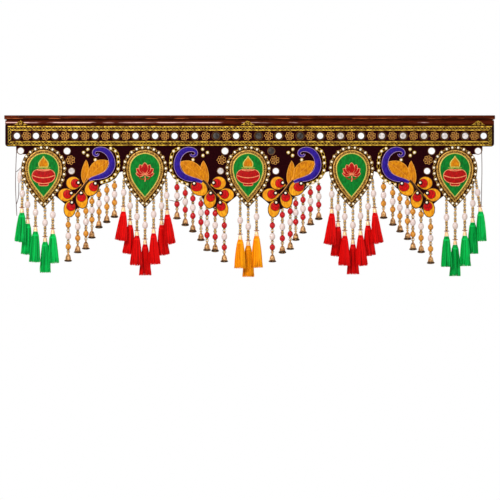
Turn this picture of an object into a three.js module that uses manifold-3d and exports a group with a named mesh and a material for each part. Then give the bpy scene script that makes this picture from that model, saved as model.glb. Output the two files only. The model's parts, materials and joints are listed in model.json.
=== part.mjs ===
// Toran: a velvet door hanging with beaded medallions, peacocks, bells and silk tassels, on the
// wooden rail that it hangs from. Millimetres, +Z up, +X along the rail, the front faces -Y.
// The origin is the middle of the rail's flat back, which lies on the wall (Y = 0).
// A "drop" is a distance down from the top of the rail.
import * as THREE from 'three';
import Module from 'manifold-3d';
import { mergeVertices } from 'three/addons/utils/BufferGeometryUtils.js';

const wasm = await Module();
wasm.setup();

// Rail
const RAIL_HEIGHT = 56;
const TOP = RAIL_HEIGHT / 2;
const LEDGE = { half: 503.2, depth: 26, from: 0, to: 8 };
const REED = { half: 501.4, depth: 23, from: 10, to: 20 };
const RAIL_BODY = { half: 499.4, depth: 22, from: 20.4, to: RAIL_HEIGHT };
const GROOVE_DEPTH = 19;

// Heading band and its three hanging tabs
const BAND = { left: -501.2, right: 501.2, from: 20.3, to: 64.2, corner: 6, thick: 2.4 };
const TAB = { width: 27, from: 12.4, to: 20.0, thick: 2.0 };
const TAB_X = [-469.8, -4.0, 468.9];

// Layers, as distances out from the wall
const PELMET_OUT = 22.4;
const PELMET_THICK = 1.4;
const FACE_OUT = 24.1;
const STRIP_OUT = 20.8;
const STRIP_THICK = 1.2;
const STRING_OUT = STRIP_OUT + STRIP_THICK / 2;

// Pelmet cloth: a straight top behind the band, drops and peacock grounds below
const PELMET_TOP = { left: -479, right: 477.5, from: 44, to: 80, corner: 9 };

// Drop shape: a half circle over two curved sides that meet in a point
const DROP_CENTRE = 109.1;
const CLOTH_DROP = { radius: 46.6, point: 81.6 };
const MEDALLION = { radius: 38, point: 69.6, thick: 3.4, round: 0.8 };
const SIDE_PULL = { upper: 0.36, lowerX: 0.65, lowerZ: 0.615 };

// Medallions: middle x and the silk tassels below, left to right
const MEDALLIONS = [
  {
    x: -422.4,
    tassels: [
      { x: -467.1, top: 199.9, end: 260.8 },
      { x: -455.8, top: 222.2, end: 286.6 },
      { x: -439.2, top: 238.4, end: 301.8 },
      { x: -419.9, top: 259.5, end: 322.9 },
      { x: -403.7, top: 243.3, end: 304.2 },
    ],
  },
  {
    x: -214.7,
    tassels: [
      { x: -259.0, top: 197.4, end: 258.3 },
      { x: -245.3, top: 224.7, end: 285.6 },
      { x: -231.1, top: 247.0, end: 308.7 },
      { x: -214.7, top: 264.5, end: 328.6 },
      { x: -196.9, top: 242.1, end: 306.7 },
      { x: -180.7, top: 224.7, end: 288.0 },
      { x: -168.8, top: 203.6, end: 265.7 },
    ],
  },
  {
    x: -3.2,
    tassels: [
      { x: -19.4, top: 254.6, end: 314.3 },
      { x: -3.0, top: 267.1, end: 331.7 },
      { x: 14.2, top: 247.2, end: 313.0 },
    ],
  },
  {
    x: 208.8,
    tassels: [
      { x: 168.4, top: 201.1, end: 266.9 },
      { x: 181.5, top: 228.4, end: 290.5 },
      { x: 195.1, top: 247.0, end: 309.1 },
      { x: 211.9, top: 264.5, end: 326.6 },
      { x: 227.4, top: 245.8, end: 309.8 },
      { x: 242.8, top: 225.9, end: 289.3 },
      { x: 256.8, top: 199.9, end: 264.5 },
    ],
  },
  {
    x: 420.8,
    tassels: [
      { x: 403.7, top: 248.3, end: 311.2 },
      { x: 421.8, top: 265.7, end: 330.2 },
      { x: 441.1, top: 247.0, end: 309.6 },
      { x: 457.9, top: 219.8, end: 284.7 },
      { x: 473.5, top: 197.4, end: 258.9 },
    ],
  },
];

// A peacock's neck reaches out by the bird's own spread, from the first u on, fully at the second
const SPREAD_FROM = 88;
const SPREAD_TO = 110;
// Peacocks: `side` points from the tail to the neck; bells run from the tail to the neck
const PEACOCKS = [
  {
    x: -422.4,
    side: 1,
    spread: 0,
    bells: [
      { x: -372.2, end: 299.3 },
      { x: -352.7, end: 281.9 },
      { x: -335.9, end: 274.3 },
      { x: -323.6, end: 251.7 },
      { x: -309.0, end: 230.8 },
      { x: -293.0, end: 220.0 },
      { x: -277.3, end: 209.3 },
    ],
  },
  {
    x: -2.6,
    side: -1,
    spread: 6,
    bells: [
      { x: -52.0, end: 300.5 },
      { x: -72.0, end: 279.4 },
      { x: -87.0, end: 277.4 },
      { x: -99.9, end: 256.7 },
      { x: -116.5, end: 239.2 },
      { x: -132.1, end: 226.1 },
      { x: -149.1, end: 212.4 },
    ],
  },
  {
    x: -3.6,
    side: 1,
    spread: 3.5,
    bells: [
      { x: 46.6, end: 300.5 },
      { x: 67.1, end: 282.5 },
      { x: 83.3, end: 274.9 },
      { x: 94.6, end: 256.3 },
      { x: 109.4, end: 241.5 },
      { x: 124.7, end: 224.7 },
      { x: 141.6, end: 213.6 },
    ],
  },
  {
    x: 421.0,
    side: -1,
    spread: 3.5,
    bells: [
      { x: 371.2, end: 303.8 },
      { x: 351.7, end: 281.5 },
      { x: 334.9, end: 275.7 },
      { x: 323.8, end: 254.6 },
      { x: 308.2, end: 239.2 },
      { x: 293.5, end: 225.5 },
      { x: 274.6, end: 211.2 },
    ],
  },
];

// Bell strings, tail to neck: heights over the rim of the bell
const BELL_STRINGS = [
  { root: 89.6, upper: 74.6, white: 51.7, lower: 29.7 },
  { root: 89.6, upper: 78.3, white: 53.7, lower: 30.1 },
  { root: 87.1, upper: 77.9, white: 55.8, lower: 31.6 },
  { root: 86.1, upper: 75.4, white: 56.8, lower: 37.7 },
  { root: 77.5, upper: 68.3, white: 49.8, lower: 32.8 },
  { root: 76.9, upper: 66.6, white: 48.6, lower: 32.4 },
  { root: 72.4, upper: 64.6, white: 47.2, lower: 30.3 },
];
const BELL = { rim: 7.2, waist: 4.3, crown: 1.8, tall: 16.6 };
const COLOUR_BEAD = { radius: 4.6, half: 6.2 };
const WHITE_BEAD = { radius: 5.3, half: 7.6 };
const THREAD = 0.6;
const SPACER = 1.2;

// Peacock, in (u, drop): u runs from the middle of the medallion at its tail to its neck
const PEACOCK_THICK = 2.2;
const NECK = [
  { u: 103.6, drop: 78.6, width: 9 },
  { u: 105.6, drop: 73.4, width: 10.4 },
  { u: 111.4, drop: 70.4, width: 11.2 },
  { u: 119.0, drop: 70.6, width: 11.6 },
  { u: 128.0, drop: 74.2, width: 12 },
  { u: 135.6, drop: 82.2, width: 12.2 },
  { u: 139.8, drop: 92.6, width: 12.6 },
  { u: 140.2, drop: 103.4, width: 12.8 },
  { u: 135.8, drop: 114.0, width: 12 },
  { u: 127.2, drop: 121.4, width: 10.6 },
  { u: 115.4, drop: 126.0, width: 8.8 },
  { u: 102.4, drop: 129.4, width: 7.4 },
  { u: 91.4, drop: 134.4, width: 6.2 },
  { u: 79.6, drop: 148.0, width: 5.4 },
  { u: 69.0, drop: 160.0, width: 4.4 },
  { u: 60.4, drop: 169.0, width: 3.2 },
];
const CURLED_HEAD = { u: 106.0, drop: 79.2, along: 7.2, across: 6.4, turn: 0 };
const WING_LEAVES = [
  {
    from: { u: 93.0, drop: 133.0 },
    to: { u: 136.0, drop: 93.0 },
    over: { u: 92.0, drop: 90.5 },
    under: { u: 134.0, drop: 127.0 },
  },
  {
    from: { u: 86.0, drop: 141.5 },
    to: { u: 87.4, drop: 91.8 },
    over: { u: 68.5, drop: 122.0 },
    under: { u: 103.0, drop: 112.0 },
  },
];
// Tail feathers: middle, radii along and across, the turn of their long axis in degrees, and
// the place on the stem where they grow
const FEATHERS = [
  { u: 60.6, drop: 139.2, along: 14.8, across: 13.8, turn: 0, root: { u: 80, drop: 147 } },
  { u: 46.2, drop: 162.6, along: 15.6, across: 12.8, turn: 0, root: { u: 67, drop: 163 } },
  { u: 53.6, drop: 191.2, along: 18.2, across: 12.0, turn: 98, root: { u: 63.5, drop: 165.5 } },
  { u: 78.4, drop: 172.6, along: 18.6, across: 12.2, turn: 84, root: { u: 77, drop: 151 } },
  { u: 98.4, drop: 148.8, along: 16.2, across: 12.8, turn: 124, root: { u: 91, drop: 135 } },
];
const GROUND_MARGIN = 1;
// Cloth behind a peacock, besides its feathers
const GROUND = [
  { u: 16, drop: 60 },
  { u: 16, drop: 160 },
  { u: 32, drop: 172 },
  { u: 60, drop: 196 },
  { u: 73, drop: 190 },
  { u: 92, drop: 168 },
  { u: 108, drop: 157 },
  { u: 118, drop: 143 },
  { u: 136, drop: 137 },
  { u: 148, drop: 129 },
  { u: 155.6, drop: 117 },
  { u: 170, drop: 113 },
  { u: 200, drop: 90 },
  { u: 200, drop: 60 },
];

// Tassel strings: heights over the top of the tassel
const TASSEL_STRING = { white: 39, collar: 11, collarTall: 1.4, cupTop: 8.8, cupFoot: 0.5 };
const CUP = { collar: 4.6, neck: 3.2, foot: 4.5 };
const LEAN = 0.058;
const STRIP_WIDTH = 5;
// Below a root by this much, a string is free of the cloth's edge in front of it
const CLEAR_OF_EDGE = 4;
// The strip of a bell fringe is sewn behind the cloth, this far over where its strings show
const ROOT_RISE = 5;
// Outermost root on a drop, as a share of its radius
const ROOT_REACH = 0.93;

// Silk tassels: a head and two rows of locks
const HEAD = { crown: 3.6, waist: 4.4, foot: 4.9, tall: 11, squash: 0.72 };
const LOCKS = { root: 7.5, topHalf: 4.4, footHalf: 12.4, shorter: 2.4, gap: 0.8 };
const LOCK_ROWS = [
  { count: 4, out: -1.4, footOut: -4.2 },
  { count: 3, out: 1.4, footOut: 4.2 },
];

const STRING_SIDES = 4;
const HEAD_SIDES = 6;
const CURVE_STEPS = 6;
const OVAL_STEPS = 12;

const COLOURS = {
  wood: 0x5a2412,
  velvet: 0x2e060c,
  gold: 0xb8923a,
  green: 0x0d7a35,
  violet: 0x35249a,
  silkGreen: 0x12a050,
  silkRed: 0xc81414,
  silkOrange: 0xf0930c,
};
const SILKS = ['silkGreen', 'silkRed', 'silkOrange', 'silkRed', 'silkGreen'];

const down = (drop) => TOP - drop;

// Solids and how they are joined
function asManifold(geometry) {
  const bare = geometry.clone();
  bare.deleteAttribute('normal');
  bare.deleteAttribute('uv');
  const welded = mergeVertices(bare, 1e-4);
  const index = welded.index.array;
  const kept = [];
  for (let i = 0; i < index.length; i += 3) {
    const [a, b, c] = [index[i], index[i + 1], index[i + 2]];
    if (a !== b && b !== c && c !== a) kept.push(a, b, c);
  }
  return new wasm.Manifold(
    new wasm.Mesh({
      numProp: 3,
      vertProperties: new Float32Array(welded.attributes.position.array),
      triVerts: new Uint32Array(kept),
    }),
  );
}

function fused(geometries) {
  const whole = geometries.map(asManifold).reduce((sum, piece) => sum.add(piece));
  const mesh = whole.getMesh();
  const geometry = new THREE.BufferGeometry();
  geometry.setAttribute('position', new THREE.BufferAttribute(mesh.vertProperties, 3));
  geometry.setIndex(new THREE.BufferAttribute(mesh.triVerts, 1));
  return geometry;
}

// A flat plate from an outline in (x, z); its back is `out` from the wall
function plate(outline, out, thick, round = 0) {
  const geometry = new THREE.ExtrudeGeometry(outline, {
    depth: thick - 2 * round,
    curveSegments: CURVE_STEPS,
    bevelEnabled: round > 0,
    bevelThickness: round,
    bevelSize: round,
    bevelOffset: -round,
    bevelSegments: 1,
  });
  geometry.rotateX(Math.PI / 2);
  geometry.translate(0, -out - round, 0);
  return geometry;
}

// A turned solid about a vertical axis; rows of {r, z} run upwards
function turned(rows, sides) {
  const points = rows.map((row) => new THREE.Vector2(row.r, row.z));
  const geometry = new THREE.LatheGeometry(points, sides);
  geometry.rotateX(Math.PI / 2);
  geometry.rotateZ(Math.PI / 2);
  return geometry;
}

// Leans a hanging thing out below its root, as strings that crowd each other do
function lean(geometry, root) {
  const at = geometry.attributes.position;
  for (let i = 0; i < at.count; i += 1) {
    const below = Math.max(0, root.z - CLEAR_OF_EDGE - at.getZ(i));
    at.setX(i, at.getX(i) + root.slopeX * below);
    at.setY(i, at.getY(i) + root.slopeY * below);
  }
  return geometry;
}

function shapeFrom(points) {
  return new THREE.Shape(points.map((p) => new THREE.Vector2(p.x, p.z)));
}

// Outlines
function dropOutline(x, radius, point) {
  const z = down(DROP_CENTRE);
  const foot = z - point;
  const shape = new THREE.Shape();
  const upper = z - SIDE_PULL.upper * point;
  const lowerX = SIDE_PULL.lowerX * radius;
  const lowerZ = z - SIDE_PULL.lowerZ * point;
  shape.absarc(x, z, radius, 0, Math.PI, false);
  shape.bezierCurveTo(x - radius, upper, x - lowerX, lowerZ, x, foot);
  shape.bezierCurveTo(x + lowerX, lowerZ, x + radius, upper, x + radius, z);
  return shape;
}

function roundedStrip(size) {
  const { left, right, corner } = size;
  const top = down(size.from);
  const foot = down(size.to);
  const shape = new THREE.Shape();
  shape.moveTo(left, top);
  shape.lineTo(left, foot + corner);
  shape.absarc(left + corner, foot + corner, corner, Math.PI, 1.5 * Math.PI, false);
  shape.absarc(right - corner, foot + corner, corner, 1.5 * Math.PI, 2 * Math.PI, false);
  shape.lineTo(right, top);
  return shape;
}

function tabOutline(x) {
  const half = TAB.width / 2;
  const top = down(TAB.from);
  const foot = down(TAB.to);
  const shape = new THREE.Shape();
  shape.moveTo(x - half, foot);
  shape.lineTo(x + half, foot);
  shape.quadraticCurveTo(x + half * 0.55, foot + 1.5, x + half * 0.28, top - 1);
  shape.quadraticCurveTo(x, top + 1, x - half * 0.28, top - 1);
  shape.quadraticCurveTo(x - half * 0.55, foot + 1.5, x - half, foot);
  return shape;
}

// A stroke of changing width along a smooth line through its rows
function strokeOutline(place, rows) {
  const line = new THREE.SplineCurve(rows.map((row) => new THREE.Vector2(row.u, row.drop)));
  const left = [];
  const right = [];
  rows.forEach((row, i) => {
    const t = i / (rows.length - 1);
    const tangent = line.getTangent(t);
    const off = row.width / 2;
    left.push(place(row.u - tangent.y * off, row.drop + tangent.x * off));
    right.push(place(row.u + tangent.y * off, row.drop - tangent.x * off));
  });
  return shapeFrom([...left, ...right.reverse()]);
}

function leafOutline(place, leaf) {
  const [from, to, over, under] = ['from', 'to', 'over', 'under'].map((key) =>
    place(leaf[key].u, leaf[key].drop),
  );
  const shape = new THREE.Shape();
  shape.moveTo(from.x, from.z);
  shape.quadraticCurveTo(over.x, over.z, to.x, to.z);
  shape.quadraticCurveTo(under.x, under.z, from.x, from.z);
  return shape;
}

function ovalOutline(place, oval, margin) {
  const turn = THREE.MathUtils.degToRad(oval.turn);
  const points = [];
  for (let i = 0; i < OVAL_STEPS; i += 1) {
    const angle = (2 * Math.PI * i) / OVAL_STEPS;
    const along = (oval.along + margin) * Math.cos(angle);
    const across = (oval.across + margin) * Math.sin(angle);
    const u = oval.u + along * Math.cos(turn) - across * Math.sin(turn);
    const drop = oval.drop + along * Math.sin(turn) + across * Math.cos(turn);
    points.push(place(u, drop));
  }
  return shapeFrom(points);
}

// The pointed base that ties a feather to the stem
function featherBase(place, feather) {
  const { u, drop, root } = feather;
  const length = Math.hypot(root.u - u, root.drop - drop);
  const half = feather.across * 0.45;
  const acrossU = (-(root.drop - drop) / length) * half;
  const acrossDrop = ((root.u - u) / length) * half;
  return shapeFrom([
    place(u + acrossU, drop + acrossDrop),
    place(u - acrossU, drop - acrossDrop),
    place(root.u - acrossU * 0.2, root.drop - acrossDrop * 0.2),
    place(root.u + acrossU * 0.2, root.drop + acrossDrop * 0.2),
  ]);
}

// The place of a peacock's own (u, drop) on the wall
function placer(bird) {
  return (u, drop) => {
    const share = THREE.MathUtils.clamp((u - SPREAD_FROM) / (SPREAD_TO - SPREAD_FROM), 0, 1);
    return { x: bird.x + bird.side * (u + bird.spread * share), z: down(drop) };
  };
}

// Sub-parts
function rail() {
  const bar = (size) => {
    const box = new THREE.BoxGeometry(2 * size.half, size.depth, size.to - size.from);
    box.translate(0, -size.depth / 2, down((size.from + size.to) / 2));
    return box;
  };
  const nosed = (size) => {
    const round = (size.to - size.from) / 2;
    const flat = size.depth - round * 0.8;
    const middle = down((size.from + size.to) / 2);
    const section = new THREE.Shape();
    section.moveTo(0, middle + round);
    section.lineTo(0, middle - round);
    section.lineTo(-flat, middle - round);
    section.quadraticCurveTo(-size.depth, middle - round, -size.depth, middle);
    section.quadraticCurveTo(-size.depth, middle + round, -flat, middle + round);
    const bead = new THREE.ExtrudeGeometry(section, {
      depth: 2 * size.half,
      bevelEnabled: false,
      curveSegments: 4,
    });
    bead.rotateX(Math.PI / 2);
    bead.rotateZ(Math.PI / 2);
    return bead.translate(-size.half, 0, 0);
  };
  const core = { half: RAIL_BODY.half, depth: GROOVE_DEPTH, from: 2, to: RAIL_BODY.from + 2 };
  return fused([nosed(LEDGE), nosed(REED), bar(core), bar(RAIL_BODY)]);
}

function pelmetCloth() {
  const grounds = PEACOCKS.flatMap((bird) => {
    const place = placer(bird);
    const ground = shapeFrom(GROUND.map((row) => place(row.u, row.drop)));
    return [ground, ...FEATHERS.map((row) => ovalOutline(place, row, GROUND_MARGIN))];
  });
  const drops = MEDALLIONS.map((m) => dropOutline(m.x, CLOTH_DROP.radius, CLOTH_DROP.point));
  const outlines = [roundedStrip(PELMET_TOP), ...drops, ...grounds];
  return fused(outlines.map((outline) => plate(outline, PELMET_OUT, PELMET_THICK)));
}

function peacock(bird) {
  const place = placer(bird);
  const outlines = [
    strokeOutline(place, NECK),
    ovalOutline(place, CURLED_HEAD, 0),
    ...WING_LEAVES.map((leaf) => leafOutline(place, leaf)),
    ...FEATHERS.map((feather) => ovalOutline(place, feather, 0)),
    ...FEATHERS.map((feather) => featherBase(place, feather)),
  ];
  return fused(outlines.map((outline) => plate(outline, FACE_OUT, PEACOCK_THICK)));
}

function beadRows(middle, bead, neck) {
  return [
    { r: neck, z: middle - bead.half },
    { r: bead.radius, z: middle - bead.half * 0.42 },
    { r: bead.radius, z: middle + bead.half * 0.42 },
    { r: neck, z: middle + bead.half },
  ];
}

function bellString(bell, string) {
  const rim = down(bell.end);
  const rows = [
    { r: 0, z: rim },
    { r: BELL.rim, z: rim },
    { r: BELL.waist, z: rim + BELL.tall * 0.4 },
    { r: BELL.crown, z: rim + BELL.tall },
    ...beadRows(rim + string.lower, COLOUR_BEAD, SPACER),
    ...beadRows(rim + string.white, WHITE_BEAD, SPACER),
    ...beadRows(rim + string.upper, COLOUR_BEAD, SPACER),
    { r: THREAD, z: rim + string.root - CLEAR_OF_EDGE },
    { r: THREAD, z: rim + string.root + ROOT_RISE + 2 },
    { r: 0, z: rim + string.root + ROOT_RISE + 2 },
  ];
  return turned(rows, STRING_SIDES).translate(bell.x, -STRING_OUT, 0);
}

// A narrow strip through the roots of a row of strings
function rootStrip(roots) {
  const half = STRIP_WIDTH / 2;
  const upper = roots.map((root) => ({ x: root.x, z: root.z + 2 * half }));
  const lower = roots.map((root) => ({ x: root.x, z: root.z }));
  const first = roots[0];
  const last = roots[roots.length - 1];
  const sense = Math.sign(last.x - first.x);
  const begin = { x: first.x - sense * half, z: first.z + half };
  const finish = { x: last.x + sense * half, z: last.z + half };
  return plate(shapeFrom([begin, ...lower, finish, ...upper.reverse()]), STRIP_OUT, STRIP_THICK);
}

function bellFringe(bird) {
  const strings = bird.bells.map((bell, i) => bellString(bell, BELL_STRINGS[i]));
  const roots = bird.bells.map((bell, i) => ({
    x: bell.x,
    z: down(bell.end) + BELL_STRINGS[i].root + ROOT_RISE,
  }));
  return fused([rootStrip(roots), ...strings]);
}

// Height of the lower edge of a cloth drop, `away` from its middle
function dropEdge(away) {
  const { radius, point } = CLOTH_DROP;
  const z = down(DROP_CENTRE);
  const side = new THREE.CubicBezierCurve(
    new THREE.Vector2(radius, z),
    new THREE.Vector2(radius, z - SIDE_PULL.upper * point),
    new THREE.Vector2(SIDE_PULL.lowerX * radius, z - SIDE_PULL.lowerZ * point),
    new THREE.Vector2(0, z - point),
  );
  return side.getPoints(60).find((place) => place.x <= away).y;
}

// Where a tassel's string leaves the cloth's edge, and how it leans from there
function tasselRoot(medallion, tassel, i) {
  const reach = ROOT_REACH * CLOTH_DROP.radius;
  const away = THREE.MathUtils.clamp(tassel.x - medallion.x, -reach, reach);
  const x = medallion.x + away;
  const z = dropEdge(Math.abs(away)) + 1;
  const fall = z - CLEAR_OF_EDGE - down(tassel.top);
  return { x, z, slopeX: (tassel.x - x) / fall, slopeY: i % 2 ? LEAN : -LEAN };
}

function tasselString(tassel, root) {
  const top = down(tassel.top);
  const { white, collar, collarTall, cupTop, cupFoot } = TASSEL_STRING;
  const rows = [
    { r: 0, z: top + cupFoot },
    { r: CUP.foot, z: top + cupFoot },
    { r: CUP.neck, z: top + cupTop },
    { r: CUP.collar, z: top + collar - collarTall / 2 },
    { r: CUP.collar, z: top + collar + collarTall / 2 },
    { r: SPACER, z: top + collar + 3 },
    ...beadRows(top + white, WHITE_BEAD, SPACER),
    { r: THREAD, z: root.z - CLEAR_OF_EDGE },
    { r: THREAD, z: root.z + 3 },
    { r: 0, z: root.z + 3 },
  ];
  return lean(turned(rows, STRING_SIDES).translate(root.x, -STRING_OUT, 0), root);
}

function tasselStrings(medallion) {
  const roots = medallion.tassels.map((tassel, i) => tasselRoot(medallion, tassel, i));
  const strings = medallion.tassels.map((tassel, i) => tasselString(tassel, roots[i]));
  return fused([rootStrip(roots), ...strings]);
}

// A lock of silk with three sides, from its root in the head to its loose end
function lock(root, end) {
  const at = [];
  for (const [place, half, deep] of [
    [end, end.half, end.deep],
    [root, root.half, root.deep],
  ]) {
    at.push(place.x - half, place.y - deep, place.z);
    at.push(place.x + half, place.y - deep, place.z);
    at.push(place.x, place.y + deep, place.z);
  }
  const geometry = new THREE.BufferGeometry();
  geometry.setAttribute('position', new THREE.Float32BufferAttribute(at, 3));
  geometry.setIndex([0, 2, 1, 3, 4, 5, 0, 1, 4, 0, 4, 3, 1, 2, 5, 1, 5, 4, 2, 0, 3, 2, 3, 5]);
  return geometry;
}

// A tassel hangs plumb seen from the front, at the end of a string that may slant
function silkTassel(tassel, root) {
  const length = tassel.end - tassel.top;
  const rows = [
    { r: 0, z: -HEAD.tall },
    { r: HEAD.foot, z: -HEAD.tall },
    { r: HEAD.waist, z: -HEAD.tall * 0.55 },
    { r: HEAD.crown, z: 0 },
    { r: 0, z: 0 },
  ];
  const head = turned(rows, HEAD_SIDES).scale(1, HEAD.squash, 1);
  const locks = LOCK_ROWS.flatMap((row, side) => {
    const pieces = [];
    for (let i = 0; i < row.count; i += 1) {
      const across = (2 * (i + 0.5)) / row.count - 1;
      const root = {
        x: across * LOCKS.topHalf * 0.8,
        y: row.out,
        z: -LOCKS.root,
        half: (LOCKS.topHalf / row.count) * 0.66,
        deep: 0.9,
      };
      const end = {
        x: across * LOCKS.footHalf,
        y: row.footOut,
        z: -length + ((i + side) % 2 ? LOCKS.shorter : 0),
        half: LOCKS.footHalf / row.count - LOCKS.gap / 2,
        deep: 2.6,
      };
      pieces.push(lock(root, end));
    }
    return pieces;
  });
  const whole = fused([head, ...locks]);
  const plumb = { ...root, slopeX: 0 };
  return lean(whole.translate(tassel.x, -STRING_OUT, down(tassel.top)), plumb);
}

// Assembly
const group = new THREE.Group();
group.name = 'toran';

function add(name, geometry, colour, roughness = 0.8, metalness = 0) {
  const material = new THREE.MeshStandardMaterial({
    color: COLOURS[colour],
    roughness,
    metalness,
  });
  const mesh = new THREE.Mesh(geometry, material);
  mesh.name = name;
  group.add(mesh);
}

add('rail', rail(), 'wood', 0.4);
add('heading_band', plate(roundedStrip(BAND), FACE_OUT, BAND.thick), 'velvet');
TAB_X.forEach((x, i) => {
  add(`hanging_tab_${i + 1}`, plate(tabOutline(x), FACE_OUT, TAB.thick), 'gold', 0.6);
});
add('pelmet_cloth', pelmetCloth(), 'velvet');
MEDALLIONS.forEach((medallion, i) => {
  const outline = dropOutline(medallion.x, MEDALLION.radius, MEDALLION.point);
  const panel = plate(outline, FACE_OUT, MEDALLION.thick, MEDALLION.round);
  add(`medallion_${i + 1}`, panel, 'green');
  add(`tassel_strings_${i + 1}`, tasselStrings(medallion), 'gold', 0.4, 0.4);
  medallion.tassels.forEach((tassel, j) => {
    const silk = silkTassel(tassel, tasselRoot(medallion, tassel, j));
    add(`tassel_${i + 1}_${j + 1}`, silk, SILKS[i], 0.5);
  });
});
PEACOCKS.forEach((bird, i) => {
  add(`peacock_${i + 1}`, peacock(bird), 'violet');
  add(`bell_fringe_${i + 1}`, bellFringe(bird), 'gold', 0.4, 0.4);
});

export default group;
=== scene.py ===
"""Dresses a toran, a velvet door hanging with mirrors, embroidered drops and peacocks, beads,
bells and silk tassels, on its wooden rail. Lengths in tables are millimetres: x runs along the
rail, a drop is measured down from the top of the rail, and out is the distance from the wall.
"""

import json
import logging
import math
import random
from dataclasses import dataclass, field
from enum import Enum

import bmesh
import bpy
from mathutils import Matrix, Vector

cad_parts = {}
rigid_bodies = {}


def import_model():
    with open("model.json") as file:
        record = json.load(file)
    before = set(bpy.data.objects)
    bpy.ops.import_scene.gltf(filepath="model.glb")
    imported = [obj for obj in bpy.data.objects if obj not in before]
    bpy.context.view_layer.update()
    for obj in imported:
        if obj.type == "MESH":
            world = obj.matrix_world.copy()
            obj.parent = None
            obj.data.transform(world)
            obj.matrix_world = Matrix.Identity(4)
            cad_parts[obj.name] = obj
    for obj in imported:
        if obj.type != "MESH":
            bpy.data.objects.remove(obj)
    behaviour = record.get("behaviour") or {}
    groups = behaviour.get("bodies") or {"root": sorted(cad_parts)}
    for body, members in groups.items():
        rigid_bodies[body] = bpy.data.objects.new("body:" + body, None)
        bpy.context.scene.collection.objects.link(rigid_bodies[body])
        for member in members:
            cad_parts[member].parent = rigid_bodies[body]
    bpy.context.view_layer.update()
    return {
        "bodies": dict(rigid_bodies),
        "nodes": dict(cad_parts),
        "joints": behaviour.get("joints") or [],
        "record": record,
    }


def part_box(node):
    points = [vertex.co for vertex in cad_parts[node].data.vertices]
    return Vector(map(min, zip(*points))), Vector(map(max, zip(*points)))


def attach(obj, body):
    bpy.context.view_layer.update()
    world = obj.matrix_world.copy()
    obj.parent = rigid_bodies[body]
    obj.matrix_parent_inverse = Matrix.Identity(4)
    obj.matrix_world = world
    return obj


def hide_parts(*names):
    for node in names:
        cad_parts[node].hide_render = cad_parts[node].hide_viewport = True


LOG = logging.getLogger("toran")

MM = 0.001
FRONT = Vector((0, -1, 0))
Place = tuple[float, float]
Form = tuple[list[Vector], list[tuple[int, ...]]]

# Height of the rail's top over the frame's origin
RAIL_TOP = 28.0
# Drop of the middles of the medallions
DROP_CENTRE = 109.1
# Half width of a lobe of the cloth below a medallion's middle, and how far down its point is
LOBE = (46.6, 81.6)
# Front of the pelmet, and the line of the strings behind it
CLOTH_FRONT = 23.9
STRING_OUT = 21.4
# How far below the cloth's edge a string hangs straight before it leans
CLEAR_OF_EDGE = 4.0
PEARL_RADIUS = 2.5
BELL_RIM, BELL_TALL = 7.7, 17.0
GLASS_RADIUS = 6.4
# Heights of the pattern up to which the dark tone and from which the light tone is plain
DARK_END, LIGHT_START = 0.32, 0.68


def spot(x: float, drop: float, out: float) -> Vector:
    """Turns a place on the hanging, in millimetres, into metres in the shared frame."""
    return Vector((x * MM, -out * MM, (RAIL_TOP - drop) * MM))


def linear(red: float, green: float, blue: float) -> tuple[float, float, float, float]:
    """Turns a colour as seen on a screen into linear light.

    Args:
        red: its red, 0 to 255.
        green: its green.
        blue: its blue.

    Returns:
        The linear colour, opaque.
    """

    def one(level: float) -> float:
        """Converts one channel."""
        share = level / 255.0
        return share / 12.92 if share <= 0.04045 else ((share + 0.055) / 1.055) ** 2.4

    return (one(red), one(green), one(blue), 1.0)


# Finishes


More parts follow.
